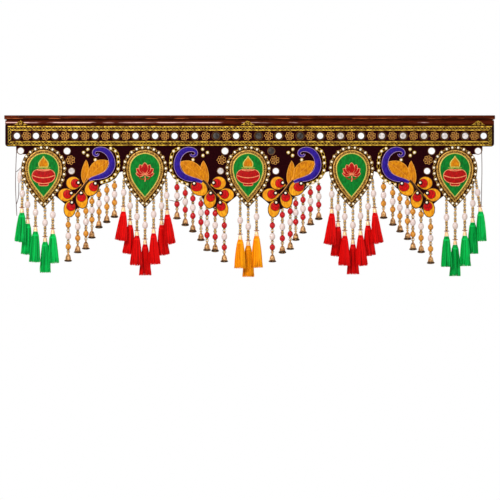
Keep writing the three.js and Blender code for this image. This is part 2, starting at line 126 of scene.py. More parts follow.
class Shader:
    """A small workbench for one procedural material."""

    def __init__(self, name: str) -> None:
        """Starts the material with a Principled shader.

        Args:
            name: what the material is called.
        """
        self.material = bpy.data.materials.new(name)
        self.material.use_nodes = True
        self.nodes = self.material.node_tree.nodes
        self.links = self.material.node_tree.links
        self.surface = self.nodes["Principled BSDF"]

    def node(self, kind: str, **sockets: object) -> bpy.types.Node:
        """Adds a node and sets its sockets or joins them to other nodes' outputs.

        Args:
            kind: the node's type name.
            sockets: values or output sockets by input name, spaces written as underscores.

        Returns:
            The new node.
        """
        made = self.nodes.new(kind)
        for name, value in sockets.items():
            self.join(value, made.inputs[name.replace("_", " ")])
        return made

    def join(self, value: object, socket: bpy.types.NodeSocket) -> None:
        """Sets a socket, or links an output to it.

        Args:
            value: a plain value or an output.
            socket: the input.
        """
        if isinstance(value, bpy.types.NodeSocket):
            self.links.new(value, socket)
        else:
            socket.default_value = value

    def place(self, stretch: tuple[float, float, float]) -> bpy.types.NodeSocket:
        """Gives Object coordinates, stretched.

        Args:
            stretch: scale along x, y and z.

        Returns:
            The vector output.
        """
        where = self.node("ShaderNodeTexCoord")
        turned = self.node("ShaderNodeMapping", Vector=where.outputs["Object"], Scale=stretch)
        return turned.outputs["Vector"]

    def noise(
        self, scale: float, stretch: tuple[float, float, float] = (1, 1, 1), detail: float = 3.0
    ) -> bpy.types.NodeSocket:
        """Adds a noise pattern on Object coordinates.

        Args:
            scale: waves a metre.
            stretch: scale along x, y and z.
            detail: octaves.

        Returns:
            The height output.
        """
        made = self.node("ShaderNodeTexNoise", Vector=self.place(stretch), Scale=scale, Detail=detail)
        return made.outputs[0]

    def ramp(self, fac: bpy.types.NodeSocket, stops: list[tuple[float, tuple]]) -> bpy.types.NodeSocket:
        """Maps a height to colours.

        Args:
            fac: the height.
            stops: pairs of position and colour.

        Returns:
            The colour output.
        """
        made = self.node("ShaderNodeValToRGB", Fac=fac)
        line = made.color_ramp
        while len(line.elements) < len(stops):
            line.elements.new(0.5)
        for element, (position, colour) in zip(line.elements, stops):
            element.position = position
            element.color = colour
        return made.outputs["Color"]

    def set(self, **sockets: object) -> None:
        """Sets or links sockets of the surface."""
        for name, value in sockets.items():
            self.join(value, self.surface.inputs[name.replace("_", " ")])

    def bump(self, height: bpy.types.NodeSocket, strength: float, distance: float) -> None:
        """Raises the surface by a height pattern.

        Args:
            height: the pattern.
            strength: its share.
            distance: depth in metres.
        """
        made = self.node("ShaderNodeBump", Height=height, Strength=strength, Distance=distance)
        self.links.new(made.outputs["Normal"], self.surface.inputs["Normal"])


@dataclass(frozen=True)
class Finish:
    """A finish with two tones that drift over the surface."""

    name: str
    slot: str
    dark: tuple
    light: tuple
    roughness: float = 0.6
    grain: float = 260.0
    relief: float = 0.25
    depth: float = 0.0004
    gloss: float = 0.12

    def pattern(self, shader: Shader) -> bpy.types.NodeSocket:
        """Gives the drift between the tones."""
        return shader.noise(self.grain)

    def dress(self, shader: Shader) -> None:
        """Adds what is particular to the finish."""

    def build(self) -> bpy.types.Material:
        """Builds the material once.

        Returns:
            The material.
        """
        known = bpy.data.materials.get(self.name)
        if known:
            return known
        shader = Shader(self.name)
        height = self.pattern(shader)
        tones = [(DARK_END, linear(*self.dark)), (LIGHT_START, linear(*self.light))]
        colour = shader.ramp(height, tones)
        shader.set(Base_Color=colour, Roughness=self.roughness, Specular_IOR_Level=self.gloss)
        shader.bump(height, self.relief, self.depth)
        self.dress(shader)
        return shader.material


@dataclass(frozen=True)
class Varnish(Finish):
    """Varnished wood with its grain along the rail."""

    def pattern(self, shader: Shader) -> bpy.types.NodeSocket:
        """Gives long streaks of grain."""
        return shader.noise(self.grain, (0.06, 1.0, 1.0), 6.0)

    def dress(self, shader: Shader) -> None:
        """Adds the clear coat."""
        shader.set(Coat_Weight=0.015, Coat_Roughness=0.2)


@dataclass(frozen=True)
class HighlightStreaks(Varnish):
    """Varnish with pale painted highlights in long broken streaks, fewer towards one end of the rail."""

    # How the painted highlight thins along the rail, and the levels of the pattern where it begins and
    # where it is full.
    fade: float = 0.0
    whole: float = 0.4
    highlight_full: float = 0.72

    def pattern(self, shader: Shader) -> bpy.types.NodeSocket:
        """Gives the streaks of painted highlight.

        Args:
            shader: the workbench.

        Returns:
            The height output.
        """
        along = shader.node("ShaderNodeSeparateXYZ", Vector=shader.place((1, 1, 1))).outputs["X"]
        fading = shader.node("ShaderNodeMath")
        fading.operation = "MULTIPLY_ADD"
        broken = shader.noise(self.grain, (0.2, 1, 1), 5.0)
        for value, socket in zip((along, -self.fade, broken), fading.inputs):
            shader.join(value, socket)
        level = fading.outputs[0]
        sharp = shader.node("ShaderNodeMapRange", Value=level, From_Min=self.whole, From_Max=self.highlight_full)
        return sharp.outputs["Result"]


@dataclass(frozen=True)
class Pile(Finish):
    """Velvet: dark seen straight on, lighter at a slant."""

    def dress(self, shader: Shader) -> None:
        """Adds the sheen of the pile."""
        shader.set(Sheen_Weight=0.06, Sheen_Roughness=0.4, Sheen_Tint=linear(190, 60, 70))


@dataclass(frozen=True)
class Satin(Finish):
    """Satin with fine stitches across it."""

    def pattern(self, shader: Shader) -> bpy.types.NodeSocket:
        """Gives short stitches."""
        return shader.noise(self.grain, (1.0, 1.0, 0.45), 4.0)


@dataclass(frozen=True)
class MetalThread(Finish):
    """Metal thread: bright strands with dark gaps."""

    metal: float = 0.3

    def dress(self, shader: Shader) -> None:
        """Adds the metal's gloss."""
        shader.set(Metallic=self.metal)


@dataclass(frozen=True)
class Polished(Finish):
    """Smooth brass or glass with a clear gloss."""

    metal: float = 0.0
    coat: float = 0.0

    def dress(self, shader: Shader) -> None:
        """Adds metal and coat."""
        shader.set(Metallic=self.metal, Coat_Weight=self.coat, Coat_Roughness=0.08)


@dataclass(frozen=True)
class Silk(Finish):
    """Silk strands, each with its own tone."""

    def pattern(self, shader: Shader) -> bpy.types.NodeSocket:
        """Reads the tone of the strand.

        Args:
            shader: the workbench.

        Returns:
            The tone's output.
        """
        tone = shader.nodes.new("ShaderNodeAttribute")
        tone.attribute_name = "tone"
        return tone.outputs["Fac"]

    def dress(self, shader: Shader) -> None:
        """Adds fine fibres."""
        shader.bump(shader.noise(900.0, (1.0, 1.0, 0.05), 2.0), 0.4, 0.0004)


WOOD = Varnish("varnished wood", "wood", (30, 6, 1), (104, 36, 12), 0.6, 900.0, 0.15, 0.0003, 0.02)
# Lighter tone on the bead under the ledge: a painted highlight line.
EDGE_HIGHLIGHT_WOOD = HighlightStreaks("wood edge painted highlight", "wood", (50, 16, 4), (150, 76, 40), 0.6, 160.0, 0.15, 0.0003, 0.03)
# Pale broken streaks along the reed: a painted highlight, not wear.
STREAK_HIGHLIGHT_WOOD = HighlightStreaks(
    "wood streak painted highlight", "wood", (84, 26, 12), (232, 186, 174), 0.6, 90.0, 0.15, 0.0003, 0.04, 0.3
)
VELVET = Pile("maroon velvet", "velvet", (16, 1, 3), (40, 5, 10), 0.95, 420.0, 0.5, 0.0006, 0.03)
BRAID_GOLD = MetalThread("gold braid", "gold_thread", (104, 58, 2), (255, 208, 72), 0.42, 240.0, 0.6)
RING_GOLD = MetalThread("medallion braid", "gold_thread", (104, 62, 16), (232, 178, 84), 0.46, 420.0, 0.6)
# Dark ground under the braids, partly painted shade in the gaps between the threads; also the painted shade
# in the bells' mouths.
GROUND_AND_SHADE = MetalThread("dark ground and painted shade", "gold_thread", (16, 8, 3), (46, 28, 9), 0.7, 500.0, 0.7)
LEAF_GOLD = MetalThread(
    "leaf edge thread", "gold_thread", (206, 122, 14), (246, 180, 70), 0.5, 900.0, metal=0.2
)
COPPER = MetalThread("copper thread", "gold_thread", (146, 78, 30), (232, 164, 92), 0.45, 900.0, 0.6)
OLD_COPPER = MetalThread("old copper thread", "gold_thread", (64, 36, 16), (136, 88, 46), 0.55, 900.0, 0.6)
FLOWER_GOLD = MetalThread("flower thread", "gold_thread", (192, 116, 40), (250, 188, 100), 0.45, 900.0)
PALE_GOLD = MetalThread("pale gold cord", "gold_thread", (160, 146, 50), (226, 214, 110), 0.45, 800.0)
GREEN = Satin("green satin", "medallion_cloth", (0, 86, 22), (0, 124, 38), 0.7, 340.0, 0.35)
RED = Satin("red satin", "medallion_cloth", (122, 0, 0), (188, 3, 2), 0.55, 380.0, 0.35)
CRIMSON = Satin("crimson satin", "peacock_cloth", (152, 0, 0), (216, 6, 4), 0.5, 380.0, 0.35)
WINE = Satin("wine thread", "peacock_cloth", (70, 2, 6), (116, 10, 14), 0.55, 500.0)
PEACH = Satin("peach cord", "medallion_cloth", (214, 96, 60), (250, 170, 120), 0.5, 500.0)
LEAF_GREEN = Satin("leaf green thread", "medallion_cloth", (50, 90, 10), (150, 170, 60), 0.6, 500.0)
VIOLET = Satin("violet satin", "peacock_cloth", (24, 5, 98), (46, 18, 146), 0.6, 420.0, 0.4)
LILAC = MetalThread("lilac cord", "peacock_cloth", (120, 86, 140), (190, 158, 178), 0.4, 800.0, metal=0.1)
FEATHER = Satin("yellow satin", "peacock_cloth", (200, 116, 0), (242, 168, 26), 0.6, 300.0, 0.45)
ORANGE = Satin("orange satin", "peacock_cloth", (164, 88, 0), (214, 136, 0), 0.66, 300.0, 0.45)
DARK_CORD = MetalThread("dark cord", "velvet", (30, 16, 6), (84, 52, 22), 0.6, 800.0, metal=0.1)
PEARL = Polished("cream pearl", "bead_gold", (244, 222, 180), (255, 250, 236), 0.3, 300.0, 0.02, coat=0.5)
WHITE_GLASS = Polished(
    "white bead", "bead_gold", (204, 178, 170), (234, 218, 212), 0.4, 500.0, 0.12, 0.0003, coat=0.25
)
AMBER = Polished("amber bead", "bell_brass", (168, 96, 12), (232, 158, 52), 0.3, 300.0, 0.05, coat=0.3)
RUBY = Polished("ruby bead", "bell_brass", (150, 0, 6), (214, 8, 20), 0.34, 420.0, 0.1, coat=0.3)
BRASS = Polished("bell brass", "bell_brass", (112, 66, 30), (252, 196, 132), 0.24, 260.0, 0.05, metal=0.8)
BEAD_GOLD = Polished(
    "gold bead", "bead_gold", (126, 84, 36), (240, 198, 126), 0.32, 500.0, 0.05, metal=0.7
)
WIRE = Polished("dark gold wire", "bead_gold", (40, 24, 12), (104, 68, 34), 0.45, 700.0, 0.05, metal=0.5)
ROSE_GOLD = Polished(
    "rose gold cup", "bead_gold", (216, 160, 106), (252, 222, 176), 0.4, 300.0, 0.05, metal=0.2
)
COLLAR = Polished("red brown collar", "bead_gold", (120, 60, 20), (196, 124, 52), 0.35, 300.0, 0.05)
MIRROR = Polished(
    "mirror glass", "gold_thread", (250, 250, 250), (255, 255, 255), 0.04, 40.0, 0.0, metal=1.0
)
# Darker mirror glass, for the mirrors that look dim.
DIM_MIRROR = Polished(
    "dim mirror glass", "gold_thread", (46, 40, 38), (92, 88, 84), 0.2, 140.0, 0.0, metal=1.0
)
GREY_MIRROR = Polished(
    "grey mirror", "gold_thread", (190, 182, 178), (246, 234, 228), 0.12, 160.0, 0.0, metal=1.0
)
THREAD = Polished("brown thread", "velvet", (56, 32, 28), (96, 60, 52), 0.7, 400.0)


class SilkColour(Enum):
    """The three silks of the tassels."""

    GREEN = Silk("green silk", "silk_green", (0, 98, 32), (4, 204, 90), 0.7)
    RED = Silk("red silk", "silk_red", (158, 0, 0), (236, 8, 6), 0.7)
    ORANGE = Silk("orange silk", "silk_orange", (196, 92, 0), (255, 172, 8), 0.6)


# Forms: lists of points in metres and faces


def ring_angles(count: int, start: float = 0.0) -> list[float]:
    """Gives even angles round a ring, from a share of a step."""
    return [2 * math.pi * (k + start) / count for k in range(count)]


def directions(line: list[Vector], closed: bool) -> list[Vector]:
    """Finds which way a line runs at each of its points.

    Args:
        line: its points.
        closed: whether it returns to its start.

    Returns:
        A unit vector for each point.
    """
    count = len(line)
    made = []
    for i, place in enumerate(line):
        before = line[i - 1] if closed or i else place
        after = line[(i + 1) % count] if closed or i < count - 1 else place
        made.append((after - before).normalized())
    return made


def bands(rings: int, sides: int, closed: bool = False) -> list[tuple[int, ...]]:
    """Joins rings of points with bands of faces.

    Args:
        rings: how many rings there are.
        sides: points in each.
        closed: whether the last joins the first.

    Returns:
        The faces.
    """
    faces = []
    for i in range(rings if closed else rings - 1):
        here, there = i * sides, (i + 1) % rings * sides
        for k in range(sides):
            after = (k + 1) % sides
            faces.append((here + k, here + after, there + after, there + k))
    return faces


def caps(rings: int, sides: int) -> list[tuple[int, ...]]:
    """Closes the first and the last of a row of rings."""
    last = (rings - 1) * sides
    return [tuple(reversed(range(sides))), tuple(range(last, last + sides))]


def closed_length(path: list[Vector], closed: bool) -> list[float]:
    """Measures a path.

    Args:
        path: its points.
        closed: whether it returns to its start.

    Returns:
        The length up to each point, and the whole at the end of a closed one.
    """
    marks = [0.0]
    ring = path + path[:1] if closed else path
    for first, second in zip(ring, ring[1:]):
        marks.append(marks[-1] + (second - first).length)
    return marks


def resample(path: list[Vector], count: int, closed: bool = True) -> list[Vector]:
    """Spaces points evenly along a path.

    Args:
        path: its points.
        count: how many to make.
        closed: whether it returns to its start.

    Returns:
        The new points.
    """
    marks = closed_length(path, closed)
    ring = path + path[:1] if closed else path
    steps = count if closed else count - 1
    made = []
    at = 0
    for i in range(count):
        want = marks[-1] * i / steps
        while at < len(marks) - 2 and marks[at + 1] < want:
            at += 1
        span = marks[at + 1] - marks[at]
        share = (want - marks[at]) / span if span else 0.0
        made.append(ring[at].lerp(ring[at + 1], min(1.0, max(0.0, share))))
    return made


def tube(
    path: list[Vector],
    radius: float | list[float],
    sides: int = 6,
    closed: bool = False,
    flat: float = 1.0,
) -> Form:
    """Makes a closed tube along a path.

    Args:
        path: points in metres.
        radius: half its width in metres, or a list with one for each point.
        sides: faces round it.
        closed: whether it joins up with its start.
        flat: depth over width; the depth is across the wall.

    Returns:
        Points and faces.
    """
    radii = radius if isinstance(radius, list) else [radius] * len(path)
    points = []
    for place, along, reach in zip(path, directions(path, closed), radii):
        side = along.cross(FRONT)
        if side.length < 1e-4:
            side = Vector((1, 0, 0))
        side.normalize()
        up = side.cross(along).normalized()
        for turn in ring_angles(sides, 0.5):
            points.append(place + reach * (math.cos(turn) * side + math.sin(turn) * flat * up))
    ends = [] if closed else caps(len(path), sides)
    return points, bands(len(path), sides, closed) + ends


def turned(rows: list[Place], foot: Vector, sides: int = 12, tip: Vector | None = None) -> Form:
    """Makes a turned form about an axis that rises from its foot.

    Args:
        rows: radius and height in millimetres, from the foot upwards.
        foot: where height 0 is.
        sides: faces round it.
        tip: how far the axis moves for each metre of height, if it leans.

    Returns:
        Points and faces.
    """
    slant = tip or Vector((0, 0, 1))
    points = []
    for radius, height in rows:
        middle = foot + slant * (height * MM)
        for turn in ring_angles(sides):
            points.append(middle + Vector((math.cos(turn), math.sin(turn), 0)) * radius * MM)
    return points, bands(len(rows), sides) + caps(len(rows), sides)


def patch(outline: list[Place], out: float, rise: float, crown: float, rings: int = 4) -> Form:
    """Makes a patch: a flat back, a low edge and a crowned front.

    Args:
        outline: places round it, in millimetres.
        out: where its back is.
        rise: height of the edge.
        crown: height of the middle over the edge.
        rings: steps from the edge to the middle.

    Returns:
        Points and faces.
    """
    count = len(outline)
    mid_x = sum(place[0] for place in outline) / count
    mid_drop = sum(place[1] for place in outline) / count
    points = raised(outline, out)
    for ring in range(rings):
        share = 1.0 - ring / rings
        height = out + rise + crown * math.sqrt(1.0 - share * share)
        for x, drop in outline:
            place = (mid_x + (x - mid_x) * share, mid_drop + (drop - mid_drop) * share)
            points.append(spot(*place, height))
    points.append(spot(mid_x, mid_drop, out + rise + crown))
    last = rings * count
    top = [(last + k, last + (k + 1) % count, last + count) for k in range(count)]
    return points, [tuple(range(count)), *bands(rings + 1, count), *top]


def wavy(path: list[Vector], reach: float, waves: int, phase: float, per_wave: int = 8) -> list[Vector]:
    """Swings a line from side to side along a closed path, dipping where it crosses.

    Args:
        path: the middle line.
        reach: how far it swings, in metres.
        waves: how many whole waves it makes.
        phase: where it starts, in turns.
        per_wave: points in each wave.

    Returns:
        The new points.
    """
    line = resample(path, waves * per_wave)
    made = []
    for i, (place, along) in enumerate(zip(line, directions(line, True))):
        turn = 2 * math.pi * (i / per_wave + phase)
        swing = along.cross(FRONT) * reach * math.sin(turn)
        made.append(place + swing + FRONT * (0.25 * reach * math.cos(turn)))
    return made


def beside(line: list[Vector], reaches: list[float], lift: float = 0.0) -> list[Vector]:
    """Draws an open line beside another, as seen from the front.

    Args:
        line: the first line.
        reaches: how far off each point lies, in metres.
        lift: how much nearer to the front, in metres.

    Returns:
        The new line.
    """
    made = []
    for place, along, reach in zip(line, directions(line, False), reaches):
        made.append(place + along.cross(FRONT) * reach + FRONT * lift)
    return made


def smoothed(path: list[Vector], steps: int = 6) -> list[Vector]:
    """Runs a smooth line through points.

    Args:
        path: the points.
        steps: new points for each stretch.

    Returns:
        The smooth line.
    """
    made = []
    for i in range(len(path) - 1):
        p0, p1 = path[max(i - 1, 0)], path[i]
        p2, p3 = path[i + 1], path[min(i + 2, len(path) - 1)]
        for k in range(steps):
            t = k / steps
            square = (2 * p0 - 5 * p1 + 4 * p2 - p3) * t * t
            cube = (3 * p1 - p0 - 3 * p2 + p3) * t * t * t
            made.append(0.5 * (2 * p1 + (p2 - p0) * t + square + cube))
    made.append(path[-1])
    return made


def rounded(places: list[Place], steps: int = 3) -> list[Place]:
    """Runs a smooth line through places."""
    line = smoothed([Vector((x, drop, 0)) for x, drop in places], steps)
    return [(point.x, point.y) for point in line]


def drop_side(radius: float, point: float, steps: int) -> list[Place]:
    """Draws one side of a drop, from its widest place to its point.

    Args:
        radius: half its width.
        point: depth of the point.
        steps: stretches of the side.

    Returns:
        Half widths and depths.
    """
    pulls = [(radius, 0.0), (radius, 0.36 * point), (0.65 * radius, 0.615 * point), (0.0, point)]
    return [bezier(pulls, i / steps) for i in range(steps + 1)]


def drop_outline(radius: float, point: float, steps: int = 16) -> list[Place]:
    """Draws a drop: a half circle over two sides that meet in a point.

    Args:
        radius: of the half circle.
        point: depth of the point below its middle.
        steps: points in each side.

    Returns:
        Places round it, from its middle, drops downwards.
    """
    made = [
        (radius * math.cos(turn), -radius * math.sin(turn))
        for turn in (math.pi * i / (2 * steps) for i in range(2 * steps))
    ]
    side = drop_side(radius, point, steps)
    made += [(-x, drop) for x, drop in side]
    made += [(x, drop) for x, drop in reversed(side[1:-1])]
    return made


def bezier(pulls: list[Place], share: float) -> Place:
    """Finds a place on a smooth curve.

    Args:
        pulls: its control places.
        share: how far along, 0 to 1.

    Returns:
        The place.
    """
    row = list(pulls)
    while len(row) > 1:
        steps = zip(row, row[1:])
        row = [(a[0] + (b[0] - a[0]) * share, a[1] + (b[1] - a[1]) * share) for a, b in steps]
    return row[0]


def leaf_outline(root: Place, tip: Place, over: Place, under: Place, steps: int = 9) -> list[Place]:
    """Draws a leaf between two curves.

    Args:
        root: where it grows.
        tip: its point.
        over: pull of the upper curve.
        under: pull of the lower curve.
        steps: points in each curve.

    Returns:
        Places round it.
    """
    there = [bezier([root, over, tip], i / steps) for i in range(steps)]
    back = [bezier([tip, under, root], i / steps) for i in range(steps)]
    return there + back


def oval_outline(middle: Place, along: float, across: float, turn: float, steps: int = 24) -> list[Place]:
    """Draws an oval.

    Args:
        middle: its middle.
        along: its first radius.
        across: its second radius.
        turn: of the first radius, in degrees, downwards.
        steps: points round it.

    Returns:
        Places round it.
    """
    cos, sin = math.cos(math.radians(turn)), math.sin(math.radians(turn))
    made = []
    for angle in ring_angles(steps):
        a, b = along * math.cos(angle), across * math.sin(angle)
        made.append((middle[0] + a * cos - b * sin, middle[1] + a * sin + b * cos))
    return made


def pointed(middle: Place, along: float, across: float, turn: float, root: Place) -> list[Place]:
    """Draws an oval that runs out to a point at its root.

    Args:
        middle: of the oval.
        along: its first radius.
        across: its second radius.
        turn: of the first radius, in degrees.
        root: the point.

    Returns:
        Places round it.
    """
    reach = math.hypot(root[0] - middle[0], root[1] - middle[1])
    step = ((root[0] - middle[0]) / reach, (root[1] - middle[1]) / reach)
    made = []
    for x, drop in oval_outline(middle, along, across, turn):
        away = (x - middle[0], drop - middle[1])
        facing = max(0.0, (away[0] * step[0] + away[1] * step[1]) / math.hypot(*away)) ** 6
        made.append((x + (root[0] - x) * facing, drop + (root[1] - drop) * facing))
    return made


def circle(x: float, drop: float, radius: float, steps: int = 20) -> list[Place]:
    """Draws a circle."""
    return oval_outline((x, drop), radius, radius, 0.0, steps)


def raised(outline: list[Place], out: float) -> list[Vector]:
    """Puts an outline at a distance from the wall."""
    return [spot(x, drop, out) for x, drop in outline]


def above(foot: Vector, height: float) -> Vector:
    """Finds the point over a foot at a height in millimetres."""
    return foot + Vector((0, 0, height * MM))


# Hand modelling


def clear() -> None:
    """Deselects everything."""
    bpy.ops.object.select_all(action="DESELECT")


def edit(select: str = "DESELECT", kind: str = "VERT") -> None:
    """Enters edit mode with all or nothing of a kind selected.

    Args:
        select: SELECT for all, DESELECT for nothing.
        kind: VERT, EDGE or FACE.
    """
    bpy.ops.object.mode_set(mode="EDIT")
    bpy.ops.mesh.select_mode(type=kind)
    bpy.ops.mesh.select_all(action=select)


def leave() -> None:
    """Goes back to object mode."""
    bpy.ops.object.mode_set(mode="OBJECT")


def taken(model: bpy.types.Object) -> bpy.types.Mesh:
    """Takes the mesh of a finished model and drops its object.

    Args:
        model: the object.

    Returns:
        Its mesh.
    """
    mesh = model.data
    bpy.data.objects.remove(model)
    return mesh


def applied(model: bpy.types.Object, kind: str, **values: object) -> None:
    """Adds a modifier and applies it.

    Args:
        model: the object.
        kind: the modifier's type.
        values: its settings.
    """
    bpy.context.view_layer.objects.active = model
    modifier = model.modifiers.new(kind.lower(), kind)
    for name, value in values.items():
        setattr(modifier, name, value)
    bpy.ops.object.modifier_apply(modifier=modifier.name)


def extruded(
    corners: list[Vector], move: tuple[float, float, float], bevel: float, **limits: object
) -> bpy.types.Mesh:
    """Models a solid by extruding a flat face.

    Args:
        corners: of the face, in metres.
        move: how far it is extruded, in metres.
        bevel: rounding of its edges, in millimetres, if any.
        limits: further settings of the bevel.

    Returns:
        The mesh.
    """
    clear()
    bpy.ops.mesh.primitive_circle_add(vertices=len(corners), fill_type="NGON")
    model = bpy.context.object
    for vertex, corner in zip(model.data.vertices, corners):
        vertex.co = corner
    edit("SELECT")
    bpy.ops.mesh.extrude_region_move(TRANSFORM_OT_translate={"value": move})
    bpy.ops.mesh.select_all(action="SELECT")
    bpy.ops.mesh.normals_make_consistent(inside=False)
    leave()
    if bevel:
        applied(model, "BEVEL", width=bevel * MM, segments=2, limit_method="ANGLE", **limits)
    return taken(model)


def slab(outline: list[Place], out: float, thick: float, bevel: float = 0.0) -> bpy.types.Mesh:
    """Models a plate on the cloth from its outline, its back at a distance from the wall."""
    return extruded(raised(outline, out), (0, -thick * MM, 0), bevel)


def pearl_mesh(radius: float, half: float, segments: int, rings: int) -> bpy.types.Mesh:
    """Models a bead with a threading hole at each end.

    Args:
        radius: across the thread, in millimetres.
        half: half its length along the thread.
        segments: faces round it.
        rings: faces along it.

    Returns:
        The mesh, about the origin, with its hole upright.
    """
    dimple = 0.86
    clear()
    bpy.ops.mesh.primitive_uv_sphere_add(segments=segments, ring_count=rings, radius=radius * MM)
    model = bpy.context.object
    edit("SELECT")
    bpy.ops.transform.resize(value=(1, 1, half / radius))
    bpy.ops.mesh.select_all(action="DESELECT")
    leave()
    for vertex in model.data.vertices:
        vertex.select = abs(vertex.co.z) > 0.99 * half * MM
    bpy.ops.object.mode_set(mode="EDIT")
    bpy.ops.transform.resize(value=(1, 1, dimple))
    leave()
    return taken(model)


# Radius and height of the bell's steps from the rim up, as shares of the rim and of its height
BELL_STEPS = (
    (1.0, 0.05), (0.9, 0.12), (0.79, 0.22), (0.74, 0.36), (0.68, 0.52), (0.56, 0.68), (0.36, 0.82),
    (0.21, 0.88), (0.25, 0.94), (0.14, 1.0),
)  # fmt: skip


def bell_mesh(rim: float, tall: float) -> bpy.types.Mesh:
    """Models a small bell, its rim at height 0 and its crown above.

    Args:
        rim: radius of the rim, in millimetres.
        tall: height.

    Returns:
        The mesh.
    """
    clear()
    bpy.ops.mesh.primitive_circle_add(vertices=14, radius=rim * MM, fill_type="NOTHING")
    model = bpy.context.object
    edit("SELECT")
    size, height = 1.0, 0.0
    for next_size, next_height in BELL_STEPS:
        rise = (next_height - height) * tall * MM
        bpy.ops.mesh.extrude_region_move(TRANSFORM_OT_translate={"value": (0, 0, rise)})
        bpy.ops.transform.resize(value=(next_size / size, next_size / size, 1))
        size, height = next_size, next_height
    bpy.ops.mesh.edge_face_add()
    bpy.ops.mesh.select_all(action="SELECT")
    bpy.ops.mesh.normals_make_consistent(inside=False)
    leave()
    applied(model, "SOLIDIFY", thickness=0.5 * MM, offset=-1.0)
    bpy.ops.mesh.primitive_ico_sphere_add(subdivisions=1, radius=1.7 * MM, location=(0, 0, 1.6 * MM))
    clapper = bpy.context.object
    edit("SELECT")
    bpy.ops.transform.resize(value=(0.9, 0.9, 1.2))
    leave()
    clear()
    clapper.select_set(True)
    model.select_set(True)
    bpy.context.view_layer.objects.active = model
    bpy.ops.object.transform_apply(location=True, rotation=True, scale=True)
    bpy.ops.object.join()
    return taken(model)


def mirror_mesh(radius: float) -> bpy.types.Mesh:
    """Models a round mirror with a bevelled edge, facing the front.

    Args:
        radius: in millimetres.

    Returns:
        The mesh, about the origin.
    """
    clear()
    bpy.ops.mesh.primitive_cylinder_add(
        vertices=20, radius=radius * MM, depth=1.2 * MM, rotation=(math.pi / 2, 0, 0)
    )
    model = bpy.context.object
    bpy.ops.object.transform_apply(rotation=True)
    edit(kind="FACE")
    leave()
    for face in model.data.polygons:
        face.select = face.normal.y < -0.9
    bpy.ops.object.mode_set(mode="EDIT")
    bpy.ops.mesh.inset(thickness=0.6 * MM, depth=0.05 * MM)
    leave()
    return taken(model)


class Piece:
    """One piece of the hanging, joined from many small closed forms."""

    def __init__(self, name: str, blend: float = 40.0) -> None:
        """Starts an empty piece.

        Args:
            name: what it is called.
            blend: angle in degrees up to which its faces blend smoothly.
        """
        self.name = name
        self.angle = math.radians(blend)
        self.points: list[Vector] = []
        self.faces: list[tuple[int, ...]] = []
        self.picks: list[int] = []
        self.tones: list[float] = []
        self.finishes: list[Finish] = []

    def add(self, form: Form, finish: Finish, tone: float = 0.5) -> None:
        """Adds a form.

        Args:
            form: points and faces.
            finish: what it is made of.
            tone: its own shade, 0 to 1, for finishes that read it.
        """
        if finish not in self.finishes:
            self.finishes.append(finish)
        pick = self.finishes.index(finish)
        start = len(self.points)
        points, faces = form
        self.points.extend(points)
        self.tones.extend([tone] * len(points))
        for face in faces:
            self.faces.append(tuple(start + corner for corner in face))
            self.picks.append(pick)

    def stamp(
        self, mesh: bpy.types.Mesh, finish: Finish, place: Matrix | Vector | None = None
    ) -> None:
        """Adds a copy of a modelled mesh.

        Args:
            mesh: the model.
            finish: what it is made of.
            place: the point where it goes, or how it is moved and turned.
        """
        move = Matrix.Translation(place) if isinstance(place, Vector) else place or Matrix()
        points = [move @ vertex.co for vertex in mesh.vertices]
        faces = [tuple(face.vertices) for face in mesh.polygons]
        self.add((points, faces), finish)

    def cord(self, outline: list[Place], out: float, radius: float, finish: Finish, sides: int = 6) -> None:
        """Lays a cord round an outline.

        Args:
            outline: places in millimetres.
            out: height of the cord's middle.
            radius: of the cord, in millimetres.
            finish: what it is made of.
            sides: faces round it.
        """
        self.add(tube(raised(outline, out), radius * MM, sides, True), finish)

    def build(self, slot: str, *nodes: str) -> bpy.types.Object:
        """Makes the object and hands it to the frame.

        Args:
            slot: its material slot in the record, passed on.
            nodes: the solids that it stands for.

        Returns:
            The object.
        """
        mesh = bpy.data.meshes.new(self.name)
        mesh.from_pydata([tuple(point) for point in self.points], [], self.faces)
        mesh.polygons.foreach_set("material_index", self.picks)
        tone = mesh.attributes.new("tone", "FLOAT", "POINT")
        tone.data.foreach_set("value", self.tones)
        for finish in self.finishes:
            mesh.materials.append(finish.build())
        shell = bmesh.new()
        shell.from_mesh(mesh)
        bmesh.ops.recalc_face_normals(shell, faces=shell.faces)
        shell.to_mesh(mesh)
        shell.free()
        made = bpy.data.objects.new(self.name, mesh)
        bpy.context.scene.collection.objects.link(made)
        return hand_over(made, self.angle, slot, *nodes)


def hand_over(made: bpy.types.Object, angle: float, slot: str, *nodes: str) -> bpy.types.Object:
    """Smooths a finished object and ties it to the frame.

    Args:
        made: the object.
        angle: up to which its faces blend, in radians.
        slot: its material slot in the record; not used.
        nodes: the solids that it stands for.

    Returns:
        The object.
    """
    clear()
    made.select_set(True)
    bpy.context.view_layer.objects.active = made
    bpy.ops.object.shade_smooth_by_angle(angle=angle)
    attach(made, "root")
    if nodes:
        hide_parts(*nodes)
    LOG.info("%s: %d faces", made.name, len(made.data.polygons))
    return made


# Sub-assemblies


@dataclass(frozen=True)
class Bar:
    """A bar of the rail: half its length, its depth and the drops of its top and foot."""

    half: float
    depth: float
    upper: float
    lower: float
    finish: Finish = WOOD
    nosed: bool = True
    bevel: float = 0.5

    def section(self) -> list[Place]:
        """Draws its section, with a rounded nose or a square front.

        Returns:
            Out and drop of the corners.
        """
        front = [(self.depth, self.upper), (self.depth, self.lower)]
        if self.nosed:
            half = (self.lower - self.upper) / 2
            middle = (self.lower + self.upper) / 2
            front = [
                (self.depth - half * 0.8 * (1 - math.cos(turn)), middle + half * math.sin(turn))
                for turn in (math.pi * (i / 10 - 0.5) for i in range(11))
            ]
        return [(0.0, self.upper), *front, (0.0, self.lower)]

    def mesh(self) -> bpy.types.Mesh:
        """Models it by extruding its section along the rail."""
        corners = [spot(-self.half, drop, out) for out, drop in self.section()]
        return extruded(corners, (2 * self.half * MM, 0, 0), self.bevel, angle_limit=0.9)


